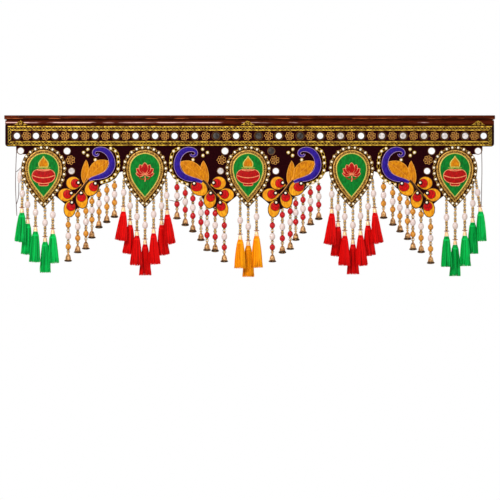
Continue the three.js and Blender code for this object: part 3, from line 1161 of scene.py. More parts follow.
@dataclass
class Rail:
    """The moulded wooden rail on the wall.

    Its bars are the ledge, the reed, the ledge's edge with a painted highlight, the reed's streak of
    painted highlight, the core behind them and the flat body below.
    """

    bars: tuple[Bar, ...] = (
        Bar(503.2, 26.0, 0.0, 8.0),
        Bar(501.4, 23.0, 10.0, 20.0),
        Bar(502.8, 26.3, 5.6, 7.6, EDGE_HIGHLIGHT_WOOD),
        Bar(500.6, 23.6, 13.9, 16.1, STREAK_HIGHLIGHT_WOOD),
        Bar(499.4, 19.0, 1.0, 22.0, nosed=False),
        Bar(499.4, 22.0, 20.4, 56.0, nosed=False),
    )

    def build(self) -> None:
        """Builds the rail."""
        piece = Piece("rail_moulding", 30.0)
        for bar in self.bars:
            piece.stamp(bar.mesh(), bar.finish)
        piece.build("wood", "rail")


@dataclass
class Braid:
    """Gold braid: cords along both edges of a dark ground, partly painted shade, with an open scroll
    between them.
    """

    cord: float = 0.9
    reach: float = 2.9
    scroll: float = 0.5
    pitch: float = 13.0
    finish: Finish = BRAID_GOLD

    def lay(self, piece: Piece, middle: list[Place], out: float, cords: list) -> None:
        """Lays a braid round a closed line.

        Args:
            piece: the piece it is added to.
            middle: its middle line.
            out: height of the cords.
            cords: the outlines that its cords follow.
        """
        for edge in cords:
            piece.cord(edge, out, self.cord, self.finish, 5)
        line = raised(middle, out)
        waves = round(closed_length(line, True)[-1] / (self.pitch * MM))
        for phase in (0.0, 0.5):
            path = wavy(line, self.reach * MM, waves, phase)
            piece.add(tube(path, self.scroll * MM, 4, True), self.finish)


@dataclass(frozen=True)
class ThreadFlower:
    """A flower of looped petals round a knot, its sizes given as shares of its radius."""

    radius: float
    petals: int = 7
    turn: float = 26.0
    reach: float = 0.69
    along: float = 0.31
    across: float = 0.27
    knot: float = 0.2
    cord: float = 0.45

    def lay(self, piece: Piece, middle: Place, out: float) -> None:
        """Embroiders the flower.

        Args:
            piece: the piece it is added to.
            middle: its middle.
            out: height of the thread.
        """
        x, drop = middle
        reach = self.radius * self.reach
        for k in range(self.petals):
            turn = 360.0 * k / self.petals + self.turn
            angle = math.radians(turn)
            place = (x + reach * math.cos(angle), drop + reach * math.sin(angle))
            petal = oval_outline(place, self.radius * self.along, self.radius * self.across, turn, 10)
            piece.cord(petal, out, self.cord, FLOWER_GOLD, 4)
        piece.cord(circle(x, drop, self.radius * self.knot, 8), out, self.cord, COPPER, 4)


def sew_mirror(
    piece: Piece, glass: bpy.types.Mesh, place: Place, radius: float, finish: Finish
) -> None:
    """Sews a mirror and its copper ring on the pelmet.

    Args:
        piece: the piece they are added to.
        glass: the mirror's model.
        place: its middle.
        radius: of the mirror.
        finish: how bright it is.
    """
    scale = Matrix.Diagonal((radius / GLASS_RADIUS, 1, radius / GLASS_RADIUS, 1))
    piece.stamp(glass, finish, Matrix.Translation(spot(*place, CLOTH_FRONT + 0.7)) @ scale)
    piece.cord(circle(*place, radius + 0.8), CLOTH_FRONT + 0.9, 0.8, OLD_COPPER)


def rounded_box(left: float, right: float, upper: float, lower: float, corner: float) -> list[Place]:
    """Draws a box whose lower corners are round.

    Args:
        left: its left side.
        right: its right side.
        upper: drop of its top.
        lower: drop of its foot.
        corner: radius of the lower corners.

    Returns:
        Places round it.
    """
    made = [(right, upper), (left, upper)]
    for middle, start in ((left + corner, math.pi), (right - corner, math.pi / 2)):
        for i in range(7):
            turn = start - (math.pi / 2) * i / 6
            made.append((middle + corner * math.cos(turn), lower - corner + corner * math.sin(turn)))
    return made


@dataclass
class HeadingBand:
    """The velvet band with its braid frame, mirrors and thread flowers."""

    left: float = -501.2
    right: float = 501.2
    upper: float = 20.3
    lower: float = 64.2
    out: float = 24.1
    thick: float = 2.0
    frame: tuple = (-497.0, 497.4, 22.2, 62.6)
    braid: float = 9.6
    mirror_drop: float = 42.4
    mirror_radius: float = 6.3
    # Rings of cord: how far outside the glass, half their width, how far below it, finish, points
    rings: tuple = ((0.6, 0.8, 0.1, DARK_CORD, 20), (2.6, 0.5, 0.2, OLD_COPPER, 24))
    mirror_x: tuple = (
        -477.0, -438.0, -398.6, -358.2, -316.6, -274.0, -234.0, -193.8, -153.8, -112.4, -68.6, -27.8,
        18.1, 59.8, 103.6, 144.6, 186.4, 228.3, 270.9, 314.4, 357.2, 399.6, 441.7, 479.6,
    )  # fmt: skip
    dim: tuple = (10, 12, 14)
    grey: tuple = (16, 18, 19, 20, 21, 22)

    def cloth(self) -> None:
        """Builds the velvet itself."""
        outline = rounded_box(self.left, self.right, self.upper, self.lower, 6.0)
        piece = Piece("band_velvet")
        piece.stamp(slab(outline, self.out, self.thick, 0.5), VELVET)
        made = piece.build("velvet", "heading_band")

    def box(self, inset: float) -> list[Place]:
        """Draws the braid frame, drawn in by an inset.

        Args:
            inset: how far in.

        Returns:
            Places round it.
        """
        left, right, upper, lower = self.frame
        left, right = left + inset, right - inset
        upper, lower = upper + inset, lower - inset
        return [(right, upper), (left, upper), (left, lower), (right, lower)]

    def braids(self) -> None:
        """Builds the braid frame and its dark ground, partly painted shade in the gaps between the threads.
        """
        piece = Piece("band_braid")
        height = self.out + self.thick + 0.75
        edge = 1.0
        outer, inner = self.box(0.0), self.box(self.braid)
        for side in range(4):
            after = (side + 1) % 4
            ground = [outer[side], outer[after], inner[after], inner[side]]
            # Dark ground under the braid: partly painted shade between the threads.
            piece.stamp(slab(ground, self.out + self.thick, 0.5), GROUND_AND_SHADE)
        cords = [self.box(inset) for inset in (edge, self.braid - edge)]
        Braid().lay(piece, self.box(self.braid / 2), height, cords)
        piece.build("gold_thread")

    def mirrors(self) -> None:
        """Sews on the mirrors, each with a dark ring and a copper one."""
        piece = Piece("band_mirrors")
        glass = mirror_mesh(self.mirror_radius)
        height = self.out + self.thick + 0.6
        for i, x in enumerate(self.mirror_x):
            finish = DIM_MIRROR if i in self.dim else GREY_MIRROR if i in self.grey else MIRROR
            tilt = Matrix.Rotation(math.radians(random.uniform(-2, 2)), 4, "Z")
            piece.stamp(glass, finish, Matrix.Translation(spot(x, self.mirror_drop, height)) @ tilt)
            for wider, cord, lower, metal, steps in self.rings:
                ring = circle(x, self.mirror_drop, self.mirror_radius + wider, steps)
                piece.cord(ring, height - lower, cord, metal)
        piece.build("gold_thread")

    def flowers(self) -> None:
        """Embroiders the flowers between the mirrors."""
        piece = Piece("band_flowers")
        height = self.out + self.thick + 0.5
        for first, second in zip(self.mirror_x, self.mirror_x[1:]):
            ThreadFlower(8.8).lay(piece, ((first + second) / 2, self.mirror_drop), height)
        piece.build("gold_thread")

    def build(self) -> None:
        """Builds the whole band."""
        self.cloth()
        self.braids()
        self.mirrors()
        self.flowers()


@dataclass
class HangingTab:
    """A small pointed tab tucked behind the band, with a fan of gold stitches."""

    index: int
    x: float
    half: float = 14.5
    upper: float = 10.6
    lower: float = 23.4
    out: float = 22.4
    thick: float = 1.3
    corners: tuple = ((1.0, 0.0), (1.0, 3.9), (0.66, 6.2), (0.32, 10.4), (0.0, 12.8))
    petals: tuple = ((-7.4, 18.4, 2.1, 35), (0.0, 16.8, 3.6, 90), (7.4, 18.4, 2.1, 145))
    knot_drop: float = 17.2

    def outline(self) -> list[Place]:
        """Draws the tab from its corners: shares of its half width and heights over its foot.

        Returns:
            Places round it.
        """
        right = [(self.x + share * self.half, self.lower - rise) for share, rise in self.corners]
        left = [(2 * self.x - x, drop) for x, drop in reversed(right[:-1])]
        return right + left

    def build(self) -> None:
        """Builds the tab and its stitches."""
        outline = self.outline()
        cloth = Piece(f"tab_velvet_{self.index}")
        cloth.stamp(slab(outline, self.out, self.thick, 0.3), VELVET)
        made = cloth.build("velvet", f"hanging_tab_{self.index}")
        front = self.out + self.thick
        fan = Piece(f"tab_stitches_{self.index}")
        for x, drop, size, turn in self.petals:
            petal = oval_outline((self.x + x, drop), size, 0.7 * size, turn, 12)
            fan.cord(petal, front + 0.4, 0.65, BRAID_GOLD, 5)
        fan.add(patch(circle(self.x, self.knot_drop, 1.0, 10), front, 0.5, 0.5, 2), FLOWER_GOLD)
        hem = [(self.x + 0.94 * (x - self.x), drop + 0.8) for x, drop in outline]
        fan.cord(hem, front, 0.45, BRAID_GOLD, 4)
        stitches = fan.build("gold_thread")


@dataclass
class PelmetCloth:
    """The scalloped velvet below the band."""

    node: str = "pelmet_cloth"
    grid: float = 9.0
    swell: float = 0.175

    def build(self, frame: dict) -> None:
        """Builds the cloth on its solid's outline, with a soft unevenness.
        """
        mesh = frame["nodes"][self.node].data.copy()
        mesh.name = "pelmet_velvet"
        shell = bmesh.new()
        shell.from_mesh(mesh)
        bmesh.ops.remove_doubles(shell, verts=shell.verts, dist=1e-6)
        bmesh.ops.dissolve_limit(shell, angle_limit=0.02, verts=shell.verts, edges=shell.edges)
        lo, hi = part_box(self.node)
        for axis in (0, 2):
            steps = int((hi[axis] - lo[axis]) / (self.grid * MM))
            normal = Vector((1, 0, 0)) if axis == 0 else Vector((0, 0, 1))
            for i in range(1, steps + 1):
                level = normal * (lo[axis] + i * self.grid * MM)
                every = shell.verts[:] + shell.edges[:] + shell.faces[:]
                bmesh.ops.bisect_plane(shell, geom=every, plane_co=level, plane_no=normal)
        for vertex in shell.verts:
            x, z = vertex.co.x / MM, vertex.co.z / MM
            wave = math.sin(x / 31.0) * math.sin(z / 23.0 + x / 57.0)
            vertex.co.y += self.swell * MM * wave
        area = sum(face.calc_area() for face in shell.faces if face.normal.y < -0.5)
        shell.to_mesh(mesh)
        shell.free()
        mesh.materials.clear()
        mesh.materials.append(VELVET.build())
        made = bpy.data.objects.new("pelmet_velvet", mesh)
        bpy.context.scene.collection.objects.link(made)
        hand_over(made, math.radians(40), "velvet", self.node)


class Motif(Enum):
    """What is embroidered on a medallion."""

    POT = "pot"
    BLOOM = "bloom"


@dataclass
class Medallion:
    """A drop-shaped medallion with its braid, pearls and motif."""

    index: int
    x: float
    motif: Motif
    field_radius: float = 30.7
    field_point: float = 58.4
    braid_radius: float = 37.2
    braid_point: float = 68.8
    pearl_radius: float = 43.0
    pearl_point: float = 76.4
    pearls: int = 26
    panel: Place = (38.0, 69.6)
    cords: tuple = (0.16, 0.84, 1.0)
    out: float = 24.1
    relief: float = 3.4
    pearl: bpy.types.Mesh | None = None
    belly: tuple = (
        (11.0, 2.0), (17.0, 3.8), (21.6, 8.0), (23.6, 14.6), (22.4, 20.8), (17.6, 26.4), (10.6, 29.8)
    )  # fmt: skip
    foot: tuple = ((9.8, 31.2), (9.4, 34.4), (6.0, 35.6))
    hoops: tuple = (
        ((-22.8, 14.4), (-12.0, 18.0), (0.0, 19.4), (12.0, 18.0), (22.8, 14.4)),
        ((-10.4, 29.8), (0.0, 31.2), (10.4, 29.8)),
        ((-12.6, 3.4), (0.0, 5.0), (12.6, 3.4)),
    )
    flank: tuple = ((0.0, -25.0), (2.4, -20.8), (6.4, -16.4), (9.2, -11.8), (9.8, -7.0), (8.4, -2.6))
    petals: tuple = ((78.0, 19.0, 4.8), (52.0, 22.0, 5.4), (26.0, 24.0, 5.6), (0.0, 26.0, 6.4))

    def ring(self, radius: float, point: float) -> list[Place]:
        """Draws a drop on the medallion's own middle."""
        return [self.at(x, drop) for x, drop in drop_outline(radius, point)]

    def between(self, share: float) -> list[Place]:
        """Draws a drop between the field and the outer edge of the braid.

        Args:
            share: how far out, 0 to 1.

        Returns:
            Places round it.
        """
        radius = self.field_radius + (self.braid_radius - self.field_radius) * share
        point = self.field_point + (self.braid_point - self.field_point) * share
        return self.ring(radius, point)

    def at(self, x: float, drop: float) -> Place:
        """Finds a place from the medallion's middle."""
        return (self.x + x, DROP_CENTRE + drop)

    def both_sides(self, half: list[Place], shared: int = 0) -> list[Place]:
        """Closes half an outline with its mirror image; the first places may be shared."""
        back = [self.at(-x, drop) for x, drop in reversed(half[shared:])]
        return [self.at(x, drop) for x, drop in half] + back

    def line(self, places: list[Place], lift: float) -> list[Vector]:
        """Puts places of the motif at a height over it."""
        return [spot(*self.at(x, drop), self.out + self.relief + lift) for x, drop in places]

    def pot(self, piece: Piece) -> None:
        """Embroiders a red pot with a flame-shaped fruit and leaves.

        Args:
            piece: the piece they are added to.
        """
        out = self.out + self.relief
        outline = self.both_sides(rounded(self.belly) + list(self.foot))
        piece.add(patch(outline, out, 0.4, 1.2), RED)
        piece.cord(outline, out + 0.6, 0.75, PEACH)
        for hoop in self.hoops:
            line = smoothed(self.line(hoop, 1.5))
            piece.add(tube(resample(line, 15, False), 0.95 * MM, 6), PEACH)
        fruit = self.both_sides(rounded(self.flank), 1)
        piece.add(patch(fruit, out, 0.3, 1.2), ORANGE)
        piece.cord(fruit, out + 0.6, 1.15, PALE_GOLD)
        for side in (-1, 1):
            for reach, lift in ((15.0, -2.0), (5.0, -8.0)):
                ends = ((1.5, 1.6), (reach, lift), (reach * 0.4, lift - 3.4), (reach * 0.8, 2.4))
                leaf = leaf_outline(*(self.at(side * x, drop) for x, drop in ends), 5)
                piece.add(patch(leaf, out, 0.3, 0.8, 2), LEAF_GREEN)

    def petal(self, turn: float, length: float, half: float) -> list[Place]:
        """Draws a petal of the bloom, which grows from a place below the middle.

        Args:
            turn: from upright, in degrees.
            length: of the petal.
            half: half its width.

        Returns:
            Places round it.
        """
        sin, cos = math.sin(math.radians(turn)), math.cos(math.radians(turn))
        ends = ((1.5, 0.0), (length, 0.0), (length * 0.6, -2.1 * half), (length * 0.6, 2.1 * half))
        placed = [self.at(sin * up + cos * side, 14.0 - cos * up + sin * side) for up, side in ends]
        return leaf_outline(*placed, 7)

    def bloom(self, piece: Piece) -> None:
        """Embroiders a red water lily of seven petals over a stem.

        Args:
            piece: the piece they are added to.
        """
        petals = []
        for turn, length, half in self.petals:
            petals += [(way * turn, length, half) for way in ((1, -1) if turn else (1,))]
        for i, (turn, length, half) in enumerate(petals):
            petal = self.petal(turn, length, half)
            lift = self.out + self.relief + 0.12 * i
            piece.add(patch(petal, lift, 0.3, 1.0, 3), RED)
            piece.cord(petal, lift + 0.5, 0.7, PEACH, 5)
        stem = self.line([(0, 15), (1.0, 21), (0.0, 27)], 0.8)
        piece.add(tube(resample(stem, 8, False), 1.2 * MM, 6), PEACH)
        for side in (-1, 1):
            curl = [(0.4, 21.0), (5.5 * side, 22.5), (10.0 * side, 19.5), (12.0 * side, 16.0)]
            piece.add(tube(resample(self.line(curl, 0.7), 9, False), 0.9 * MM, 6), RED)

    def chain(self, piece: Piece) -> None:
        """Sews the row of pearls, the looped thread round them and the small beads.

        Args:
            piece: the piece they are added to.
        """
        ring = self.ring(self.pearl_radius, self.pearl_point)
        for place in resample(raised(ring, CLOTH_FRONT + 2.2), self.pearls):
            piece.stamp(self.pearl, PEARL, place)
        ground = raised(ring, CLOTH_FRONT + 0.6)
        for phase in (0.25, 0.75):
            loops = wavy(ground, 3.4 * MM, self.pearls // 2, phase, 10)
            piece.add(tube(loops, 0.42 * MM, 4, True), RING_GOLD)
        for place in resample(ground, 2 * self.pearls)[1::2]:
            piece.add(turned([(0.8, -1.1), (1.35, 0.0), (0.8, 1.1)], place, 6), BEAD_GOLD)

    def build(self) -> None:
        """Builds the medallion."""
        piece = Piece(f"medallion_panel_{self.index}")
        # Dark panel under the braid, its darkness partly painted shade in the gaps between the threads.
        piece.stamp(slab(self.ring(*self.panel), self.out, 2.0, 0.4), GROUND_AND_SHADE)
        field_edge = self.ring(self.field_radius, self.field_point)
        piece.add(patch(field_edge, self.out + 1.8, 0.8, 1.2, 5), GREEN)
        piece.cord(field_edge, self.out + 2.6, 0.9, PALE_GOLD)
        cords = [self.between(share) for share in self.cords]
        braid = Braid(cord=0.7, reach=1.7, scroll=0.4, pitch=8.0, finish=RING_GOLD)
        braid.lay(piece, self.between(0.48), self.out + 2.5, cords)
        if self.motif is Motif.POT:
            self.pot(piece)
        else:
            self.bloom(piece)
        piece.build("medallion_cloth", f"medallion_{self.index}")
        trim = Piece(f"medallion_pearls_{self.index}")
        self.chain(trim)
        trim.build("bead_gold")


@dataclass(frozen=True)
class Feather:
    """A tail feather: its oval and root, and the drop, pearl and arcs of its eye."""

    middle: Place
    along: float
    across: float
    turn: float
    root: Place
    eye: Place
    pearl: Place
    eye_radius: float = 9.2
    arcs: tuple = (6.6, 10.2)


@dataclass
class Peacock:
    """A satin peacock: a curled neck, two wing leaves and five tail feathers."""

    index: int
    x: float
    side: int
    spread: float
    sag: float
    mirrors: tuple
    pearl: bpy.types.Mesh
    out: float = 24.1
    neck: tuple = (
        (112.6, 78.4, 1.6), (111.0, 81.6, 2.4), (107.0, 82.6, 3.0), (103.4, 80.0, 3.8),
        (102.8, 75.6, 4.8), (106.0, 71.4, 5.5), (112.4, 69.8, 5.8), (119.6, 70.2, 5.9),
        (128.2, 74.0, 6.1), (135.6, 82.0, 6.2), (139.6, 92.6, 6.3), (140.0, 103.4, 6.4),
        (135.6, 113.8, 6.0), (127.2, 121.4, 5.3), (115.4, 126.0, 4.5), (102.4, 129.0, 3.5),
        (93.4, 133.0, 2.4),
    )  # fmt: skip
    stem: tuple = ((92.0, 133.6), (85.0, 141.0), (79.4, 148.4), (69.0, 160.4), (60.0, 169.4))
    leaves: tuple = (
        ((82.4, 139.4), (87.0, 91.8), (70.5, 122.0), (98.5, 109.0)),
        ((88.9, 131.6), (134.4, 94.0), (93.0, 82.0), (126.0, 128.0)),
    )
    feathers: tuple[Feather, ...] = (
        Feather((60.6, 139.2), 14.6, 13.6, 0.0, (78.6, 143.6), (65.2, 139.6), (71.4, 138.4)),
        Feather((45.8, 163.3), 16.4, 13.7, 0.0, (65.0, 162.4), (49.0, 162.1), (57.0, 159.6)),
        Feather((53.6, 191.2), 18.0, 12.0, 98.0, (58.6, 171.6), (56.0, 187.0), (58.0, 178.8)),
        Feather((78.4, 172.6), 18.2, 12.2, 84.0, (77.2, 152.0), (77.6, 168.2), (77.1, 159.4)),
        Feather((98.4, 149.6), 16.9, 13.4, 124.0, (91.4, 136.4), (102.2, 146.9), (106.2, 139.8)),
    )
    stalk_steps: int = 20
    neck_pearls: tuple = (
        (137.6, 68.0), (147.2, 73.4), (152.1, 84.7), (153.3, 95.9), (152.7, 110.3), (147.0, 121.4),
        (139.0, 129.6), (130.0, 134.0), (119.3, 137.6),
    )  # fmt: skip
    crest_pearls: tuple = ((82.0, 76.5), (90.6, 69.9), (90.2, 82.6), (106.2, 91.6))
    large_mirror: tuple = ((48.0, 73.4), 6.8)
    small_mirror: tuple = ((57.2, 114.4), 6.2)
    flower: Place = (55.1, 91.8)

    def at(self, place: Place) -> Place:
        """Finds a place on this bird from its own (u, drop).

        Args:
            place: as drawn for all the birds, u away from the medallion.

        Returns:
            The place on the hanging, with this bird's spread.
        """
        u, drop = place
        share = min(1.0, max(0.0, (u - 88.0) / 22.0))
        return (self.x + self.side * (u + self.spread * share), drop)

    def lower(self, place: Place) -> Place:
        """Lets a place on the neck hang lower, the more the further down it is."""
        u, drop = place
        return (u, drop + self.sag * max(0.0, min(1.0, (drop - 66.0) / 60.0)))

    def outline(self, places: list[Place]) -> list[Place]:
        """Finds several places on this bird."""
        return [self.at(place) for place in places]

    def head_and_neck(self, piece: Piece) -> None:
        """Builds the curled neck with a cord on each side.

        Args:
            piece: the piece they are added to.
        """
        line = [spot(*self.at(self.lower((u, drop))), self.out + 1.1) for u, drop, _ in self.neck]
        smooth = resample(smoothed(line), 44, False)
        widths = [half for _, _, half in self.neck]
        radii = []
        for i in range(len(smooth)):
            at = i / (len(smooth) - 1) * (len(widths) - 1)
            low = min(int(at), len(widths) - 2)
            radii.append((widths[low] + (widths[low + 1] - widths[low]) * (at - low)) * MM)
        piece.add(tube(smooth, radii, 12, False, 0.38), VIOLET)
        for way in (-1, 1):
            edge = beside(smooth, [way * reach for reach in radii], 0.3 * MM)
            piece.add(tube(edge, 0.62 * MM, 5), LILAC)

    def wings(self, piece: Piece) -> None:
        """Builds the wing leaves, each with its edge and its vein.

        Args:
            piece: the piece they are added to.
        """
        for i, (root, tip, over, under) in enumerate(self.leaves):
            shift = 0.7 * self.spread if i == 0 else 0.0
            leaf = leaf_outline(root, tip, over, under, 12)
            outline = self.outline([self.lower((u + shift, drop)) for u, drop in leaf])
            piece.add(patch(outline, self.out + 0.2 * i, 0.7, 1.5, 5), ORANGE)
            piece.cord(outline, self.out + 0.9 + 0.2 * i, 0.7, LEAF_GOLD, 5)
            ends = [(u + shift, drop) for u, drop in (root, tip)]
            middle = tuple(sum(values) / 4 for values in zip(*ends, over, under))
            vein = [self.at(self.lower(place)) for place in (ends[0], middle, ends[1])]
            path = smoothed(raised(vein, self.out + 2.5))
            piece.add(tube(resample(path[1:-1], 10, False), 0.35 * MM, 4), LEAF_GOLD)

    def feather(self, piece: Piece, row: Feather) -> None:
        """Builds a feather with the red drop and the pearl of its eye.

        Args:
            piece: the piece they are added to.
            row: the feather.
        """
        oval = self.outline(pointed(row.middle, row.along, row.across, row.turn, row.root))
        piece.add(patch(oval, self.out, 0.6, 1.3, 5), FEATHER)
        piece.cord(oval, self.out + 0.6, 0.75, DARK_CORD, 5)
        tip = tuple(eye + (pearl - eye) * 1.5 for eye, pearl in zip(row.eye, row.pearl))
        drop = self.outline(pointed(row.eye, row.eye_radius, row.eye_radius, 0.0, tip))
        piece.add(patch(drop, self.out + 1.5, 0.4, 1.0, 4), CRIMSON)
        piece.cord(drop, self.out + 1.9, 0.5, DARK_CORD, 4)
        seat, eye = self.at(row.pearl), self.at(row.eye)
        piece.add(patch(circle(*seat, 4.9, 14), self.out + 2.7, 0.6, 0.4, 2), VELVET)
        facing = math.atan2(eye[1] - seat[1], eye[0] - seat[0])
        turns = [facing + math.radians(12 * k) for k in range(-4, 5)]
        for radius in row.arcs:
            arc = [(seat[0] + radius * math.cos(a), seat[1] + radius * math.sin(a)) for a in turns]
            piece.add(tube(raised(arc, self.out + 2.9), 0.4 * MM, 4), WINE)
        piece.stamp(self.pearl, PEARL, spot(*seat, self.out + 4.0))

    def stalk(self, piece: Piece) -> None:
        """Builds the stem that the feathers grow from, with a cord on each side.

        Args:
            piece: the piece they are added to.
        """
        path = smoothed(raised(self.outline(self.stem), self.out + 1.6))
        smooth = resample(path, self.stalk_steps, False)
        radii = [(2.2 - 0.07 * i) * MM for i in range(self.stalk_steps)]
        piece.add(tube(smooth, radii, 6), DARK_CORD)
        for way in (-1, 1):
            edge = beside(smooth, [way * reach for reach in radii])
            piece.add(tube(edge, 0.75 * MM, 5), COPPER if way == self.side else DARK_CORD)

    def trimmings(self, piece: Piece, glass: bpy.types.Mesh) -> None:
        """Sews on the pearls, the mirrors and the flower round the bird.

        Args:
            piece: the piece they are added to.
            glass: the mirror's model.
        """
        row = [self.lower(place) for place in self.neck_pearls]
        for place in row + [(u + 0.3 * self.spread, drop) for u, drop in self.crest_pearls]:
            x, drop = self.at(place)
            piece.stamp(self.pearl, PEARL, spot(x, drop, CLOTH_FRONT + 2.2))
            piece.cord(circle(x, drop, 3.2, 10), CLOTH_FRONT + 0.5, 0.6, BRAID_GOLD, 4)
        line = resample(smoothed(raised(self.outline(row), CLOTH_FRONT + 0.6)), 60, False)
        for phase in (0.0, 0.5):
            swings = [math.sin(2 * math.pi * (i / 14.75 + phase)) for i in range(len(line))]
            loops = beside(line, [2.9 * MM * swing for swing in swings])
            piece.add(tube(loops, 0.55 * MM, 4), BRAID_GOLD)
        for (place, radius), finish in zip((self.large_mirror, self.small_mirror), self.mirrors):
            sew_mirror(piece, glass, self.at(place), radius, finish)
        ThreadFlower(9.2).lay(piece, self.at(self.flower), CLOTH_FRONT + 0.7)

    def build(self, glass: bpy.types.Mesh) -> None:
        """Builds the bird and its trimmings.

        Args:
            glass: the mirror's model.
        """
        piece = Piece(f"peacock_bird_{self.index}")
        self.wings(piece)
        for row in self.feathers:
            self.feather(piece, row)
        self.stalk(piece)
        self.head_and_neck(piece)
        piece.build("peacock_cloth", f"peacock_{self.index}")
        trim = Piece(f"peacock_trim_{self.index}")
        self.trimmings(trim, glass)
        trim.build("bead_gold")


def wire_loop(piece: Piece, middle: Vector, radius: float) -> None:
    """Twists a loop of wire round a string.

    Args:
        piece: the piece it is added to.
        middle: its middle.
        radius: of the loop, in millimetres.
    """
    tilt = random.uniform(-0.5, 0.5)
    ring = []
    for angle in ring_angles(10):
        across, up = radius * math.cos(angle), 0.7 * radius * math.sin(angle)
        x = across * math.cos(tilt) - up * math.sin(tilt)
        z = across * math.sin(tilt) + up * math.cos(tilt)
        ring.append(middle + Vector((x, -0.3 * across, z)) * MM)
    piece.add(tube(ring, 0.5 * MM, 4, True), WIRE)


class Bead(Enum):
    """The beads of the strings: radius, half length, and faces round and along."""

    COLOURED = (5.8, 6.6, 12, 8)
    WHITE = (5.9, 7.8, 12, 8)
    SPACER = (3.0, 1.9, 8, 5)
    GOLD = (3.1, 2.5, 8, 5)
    # A flat dark disc for a bell's mouth, not a bead: painted shade.
    HOLLOW = (6.7, 0.5, 12, 8)


@dataclass
class BellString:
    """Heights over a bell's rim of the string's root and of its three beads."""

    root: float
    upper: float
    white: float
    lower: float


BELL_STRINGS = (
    BellString(89.6, 74.6, 51.7, 29.7),
    BellString(89.6, 78.3, 53.7, 30.1),
    BellString(87.1, 77.9, 55.8, 31.6),
    BellString(86.1, 75.4, 56.8, 37.7),
    BellString(77.5, 68.3, 49.8, 32.8),
    BellString(76.9, 66.6, 48.6, 32.4),
    BellString(72.4, 64.6, 47.2, 30.3),
)


@dataclass
class BellFringe:
    """Seven strings of beads, each ending in a brass bell that tips towards the front."""

    index: int
    bells: tuple
    coloured: Finish
    beads: dict[Bead, bpy.types.Mesh]
    bell: bpy.types.Mesh
    tilt: float = -16.0
    hidden: float = 8.0
    coloured_reach: float = 6.2
    white_reach: float = 7.6
    spacer_pitch: float = 3.7
    thread: float = 0.45

    def hang(self, piece: Piece, foot: Vector) -> None:
        """Hangs a bell from its crown, with painted shade in its mouth and on its thick rim.

        Args:
            piece: the piece it is added to.
            foot: middle of the rim, if the bell hung straight.
        """
        crown = Matrix.Translation(Vector((0, 0, BELL_TALL * MM)))
        turn = math.radians(random.uniform(0.8, 1.2) * self.tilt)
        hung = Matrix.Translation(foot) @ crown @ Matrix.Rotation(turn, 4, "X") @ crown.inverted()
        mouth = Matrix.Translation(Vector((0, 0, 1.2 * MM)))
        piece.stamp(self.bell, BRASS, hung)
        # Flat dark disc inside the mouth: painted shade in the bell's hollow.
        piece.stamp(self.beads[Bead.HOLLOW], GROUND_AND_SHADE, hung @ mouth)
        # Thick ring at the rim in dark wire: painted shade under the rim.
        ring = [Vector((7.4 * math.cos(a), 7.4 * math.sin(a), 0.5)) * MM for a in ring_angles(14)]
        piece.add(tube([hung @ point for point in ring], 0.8 * MM, 4, True), WIRE)

    def string(self, piece: Piece, x: float, end: float, row: BellString) -> None:
        """Threads one string.

        Args:
            piece: the piece it is added to.
            x: where it hangs.
            end: drop of the bell's rim.
            row: its heights.
        """
        foot = spot(x, end, STRING_OUT)
        self.hang(piece, foot)
        thread = [above(foot, 14.0), above(foot, row.root + self.hidden)]
        piece.add(tube(thread, self.thread * MM, 5), BEAD_GOLD)
        marks = [(16.6, 16.6)]
        for height, kind, finish, reach in (
            (row.lower, Bead.COLOURED, self.coloured, self.coloured_reach),
            (row.white, Bead.WHITE, WHITE_GLASS, self.white_reach),
            (row.upper, Bead.COLOURED, self.coloured, self.coloured_reach),
        ):
            piece.stamp(self.beads[kind], finish, above(foot, height))
            marks.append((height - reach, height + reach))
            for level in marks[-1]:
                cap = [(1.2, level - 1.0), (2.9, level), (1.2, level + 1.0)]
                piece.add(turned(cap, foot, 8), WIRE)
        marks.append((row.root + 3.0, row.root))
        for (_, low), (high, _) in zip(marks, marks[1:]):
            gap = high - low
            count = max(1, round(gap / self.spacer_pitch))
            for k in range(count):
                place = above(foot, low + gap * (k + 0.5) / count)
                piece.stamp(self.beads[Bead.SPACER], BEAD_GOLD, place)
            wire_loop(piece, above(foot, (low + high) / 2), min(3.4, 1.6 + gap * 0.3))

    def build(self) -> None:
        """Builds the fringe on its strip."""
        piece = Piece(f"bell_strings_{self.index}")
        roots = []
        for (x, end), row in zip(self.bells, BELL_STRINGS):
            self.string(piece, x, end, row)
            roots.append(spot(x, end - row.root - self.hidden, STRING_OUT))
        piece.add(tube(roots, 1.8 * MM, 4, False, 0.25), VELVET)
        piece.build("bell_brass", f"bell_fringe_{self.index}")


@dataclass
class TasselRoot:
    """Where a tassel's string leaves the cloth, and how it leans from there."""

    x: float
    drop: float
    lean: Vector

    def at(self, drop: float, plumb: float = 1e3) -> Vector:
        """Finds the string's middle at a drop.

        Args:
            drop: the drop.
            plumb: below it the string no longer leans along the rail.

        Returns:
            The point.
        """
        below = max(0.0, drop - self.drop - CLEAR_OF_EDGE)
        slanted = max(0.0, min(drop, plumb) - self.drop - CLEAR_OF_EDGE)
        straight = spot(self.x, drop, STRING_OUT)
        return straight + Vector((self.lean.x * slanted, self.lean.y * below, 0)) * MM


def tassel_root(middle: float, x: float, top: float, order: int) -> TasselRoot:
    """Finds the root of a tassel's string on the cloth's lower edge.

    Args:
        middle: x of the medallion above it.
        x: of the tassel's top.
        top: drop of the tassel's top.
        order: of the tassel from the left; odd and even ones lean apart, to and from the wall.

    Returns:
        The root.
    """
    reach = 0.93 * LOBE[0]
    away = max(-reach, min(reach, x - middle))
    edge = next(drop for half, drop in drop_side(*LOBE, 60) if half <= abs(away) + 1e-9)
    drop = DROP_CENTRE + edge - 1.0
    slope = (x - middle - away) / (top - drop - CLEAR_OF_EDGE)
    return TasselRoot(middle + away, drop, Vector((slope, 0.058 if order % 2 else -0.058, 0.0)))


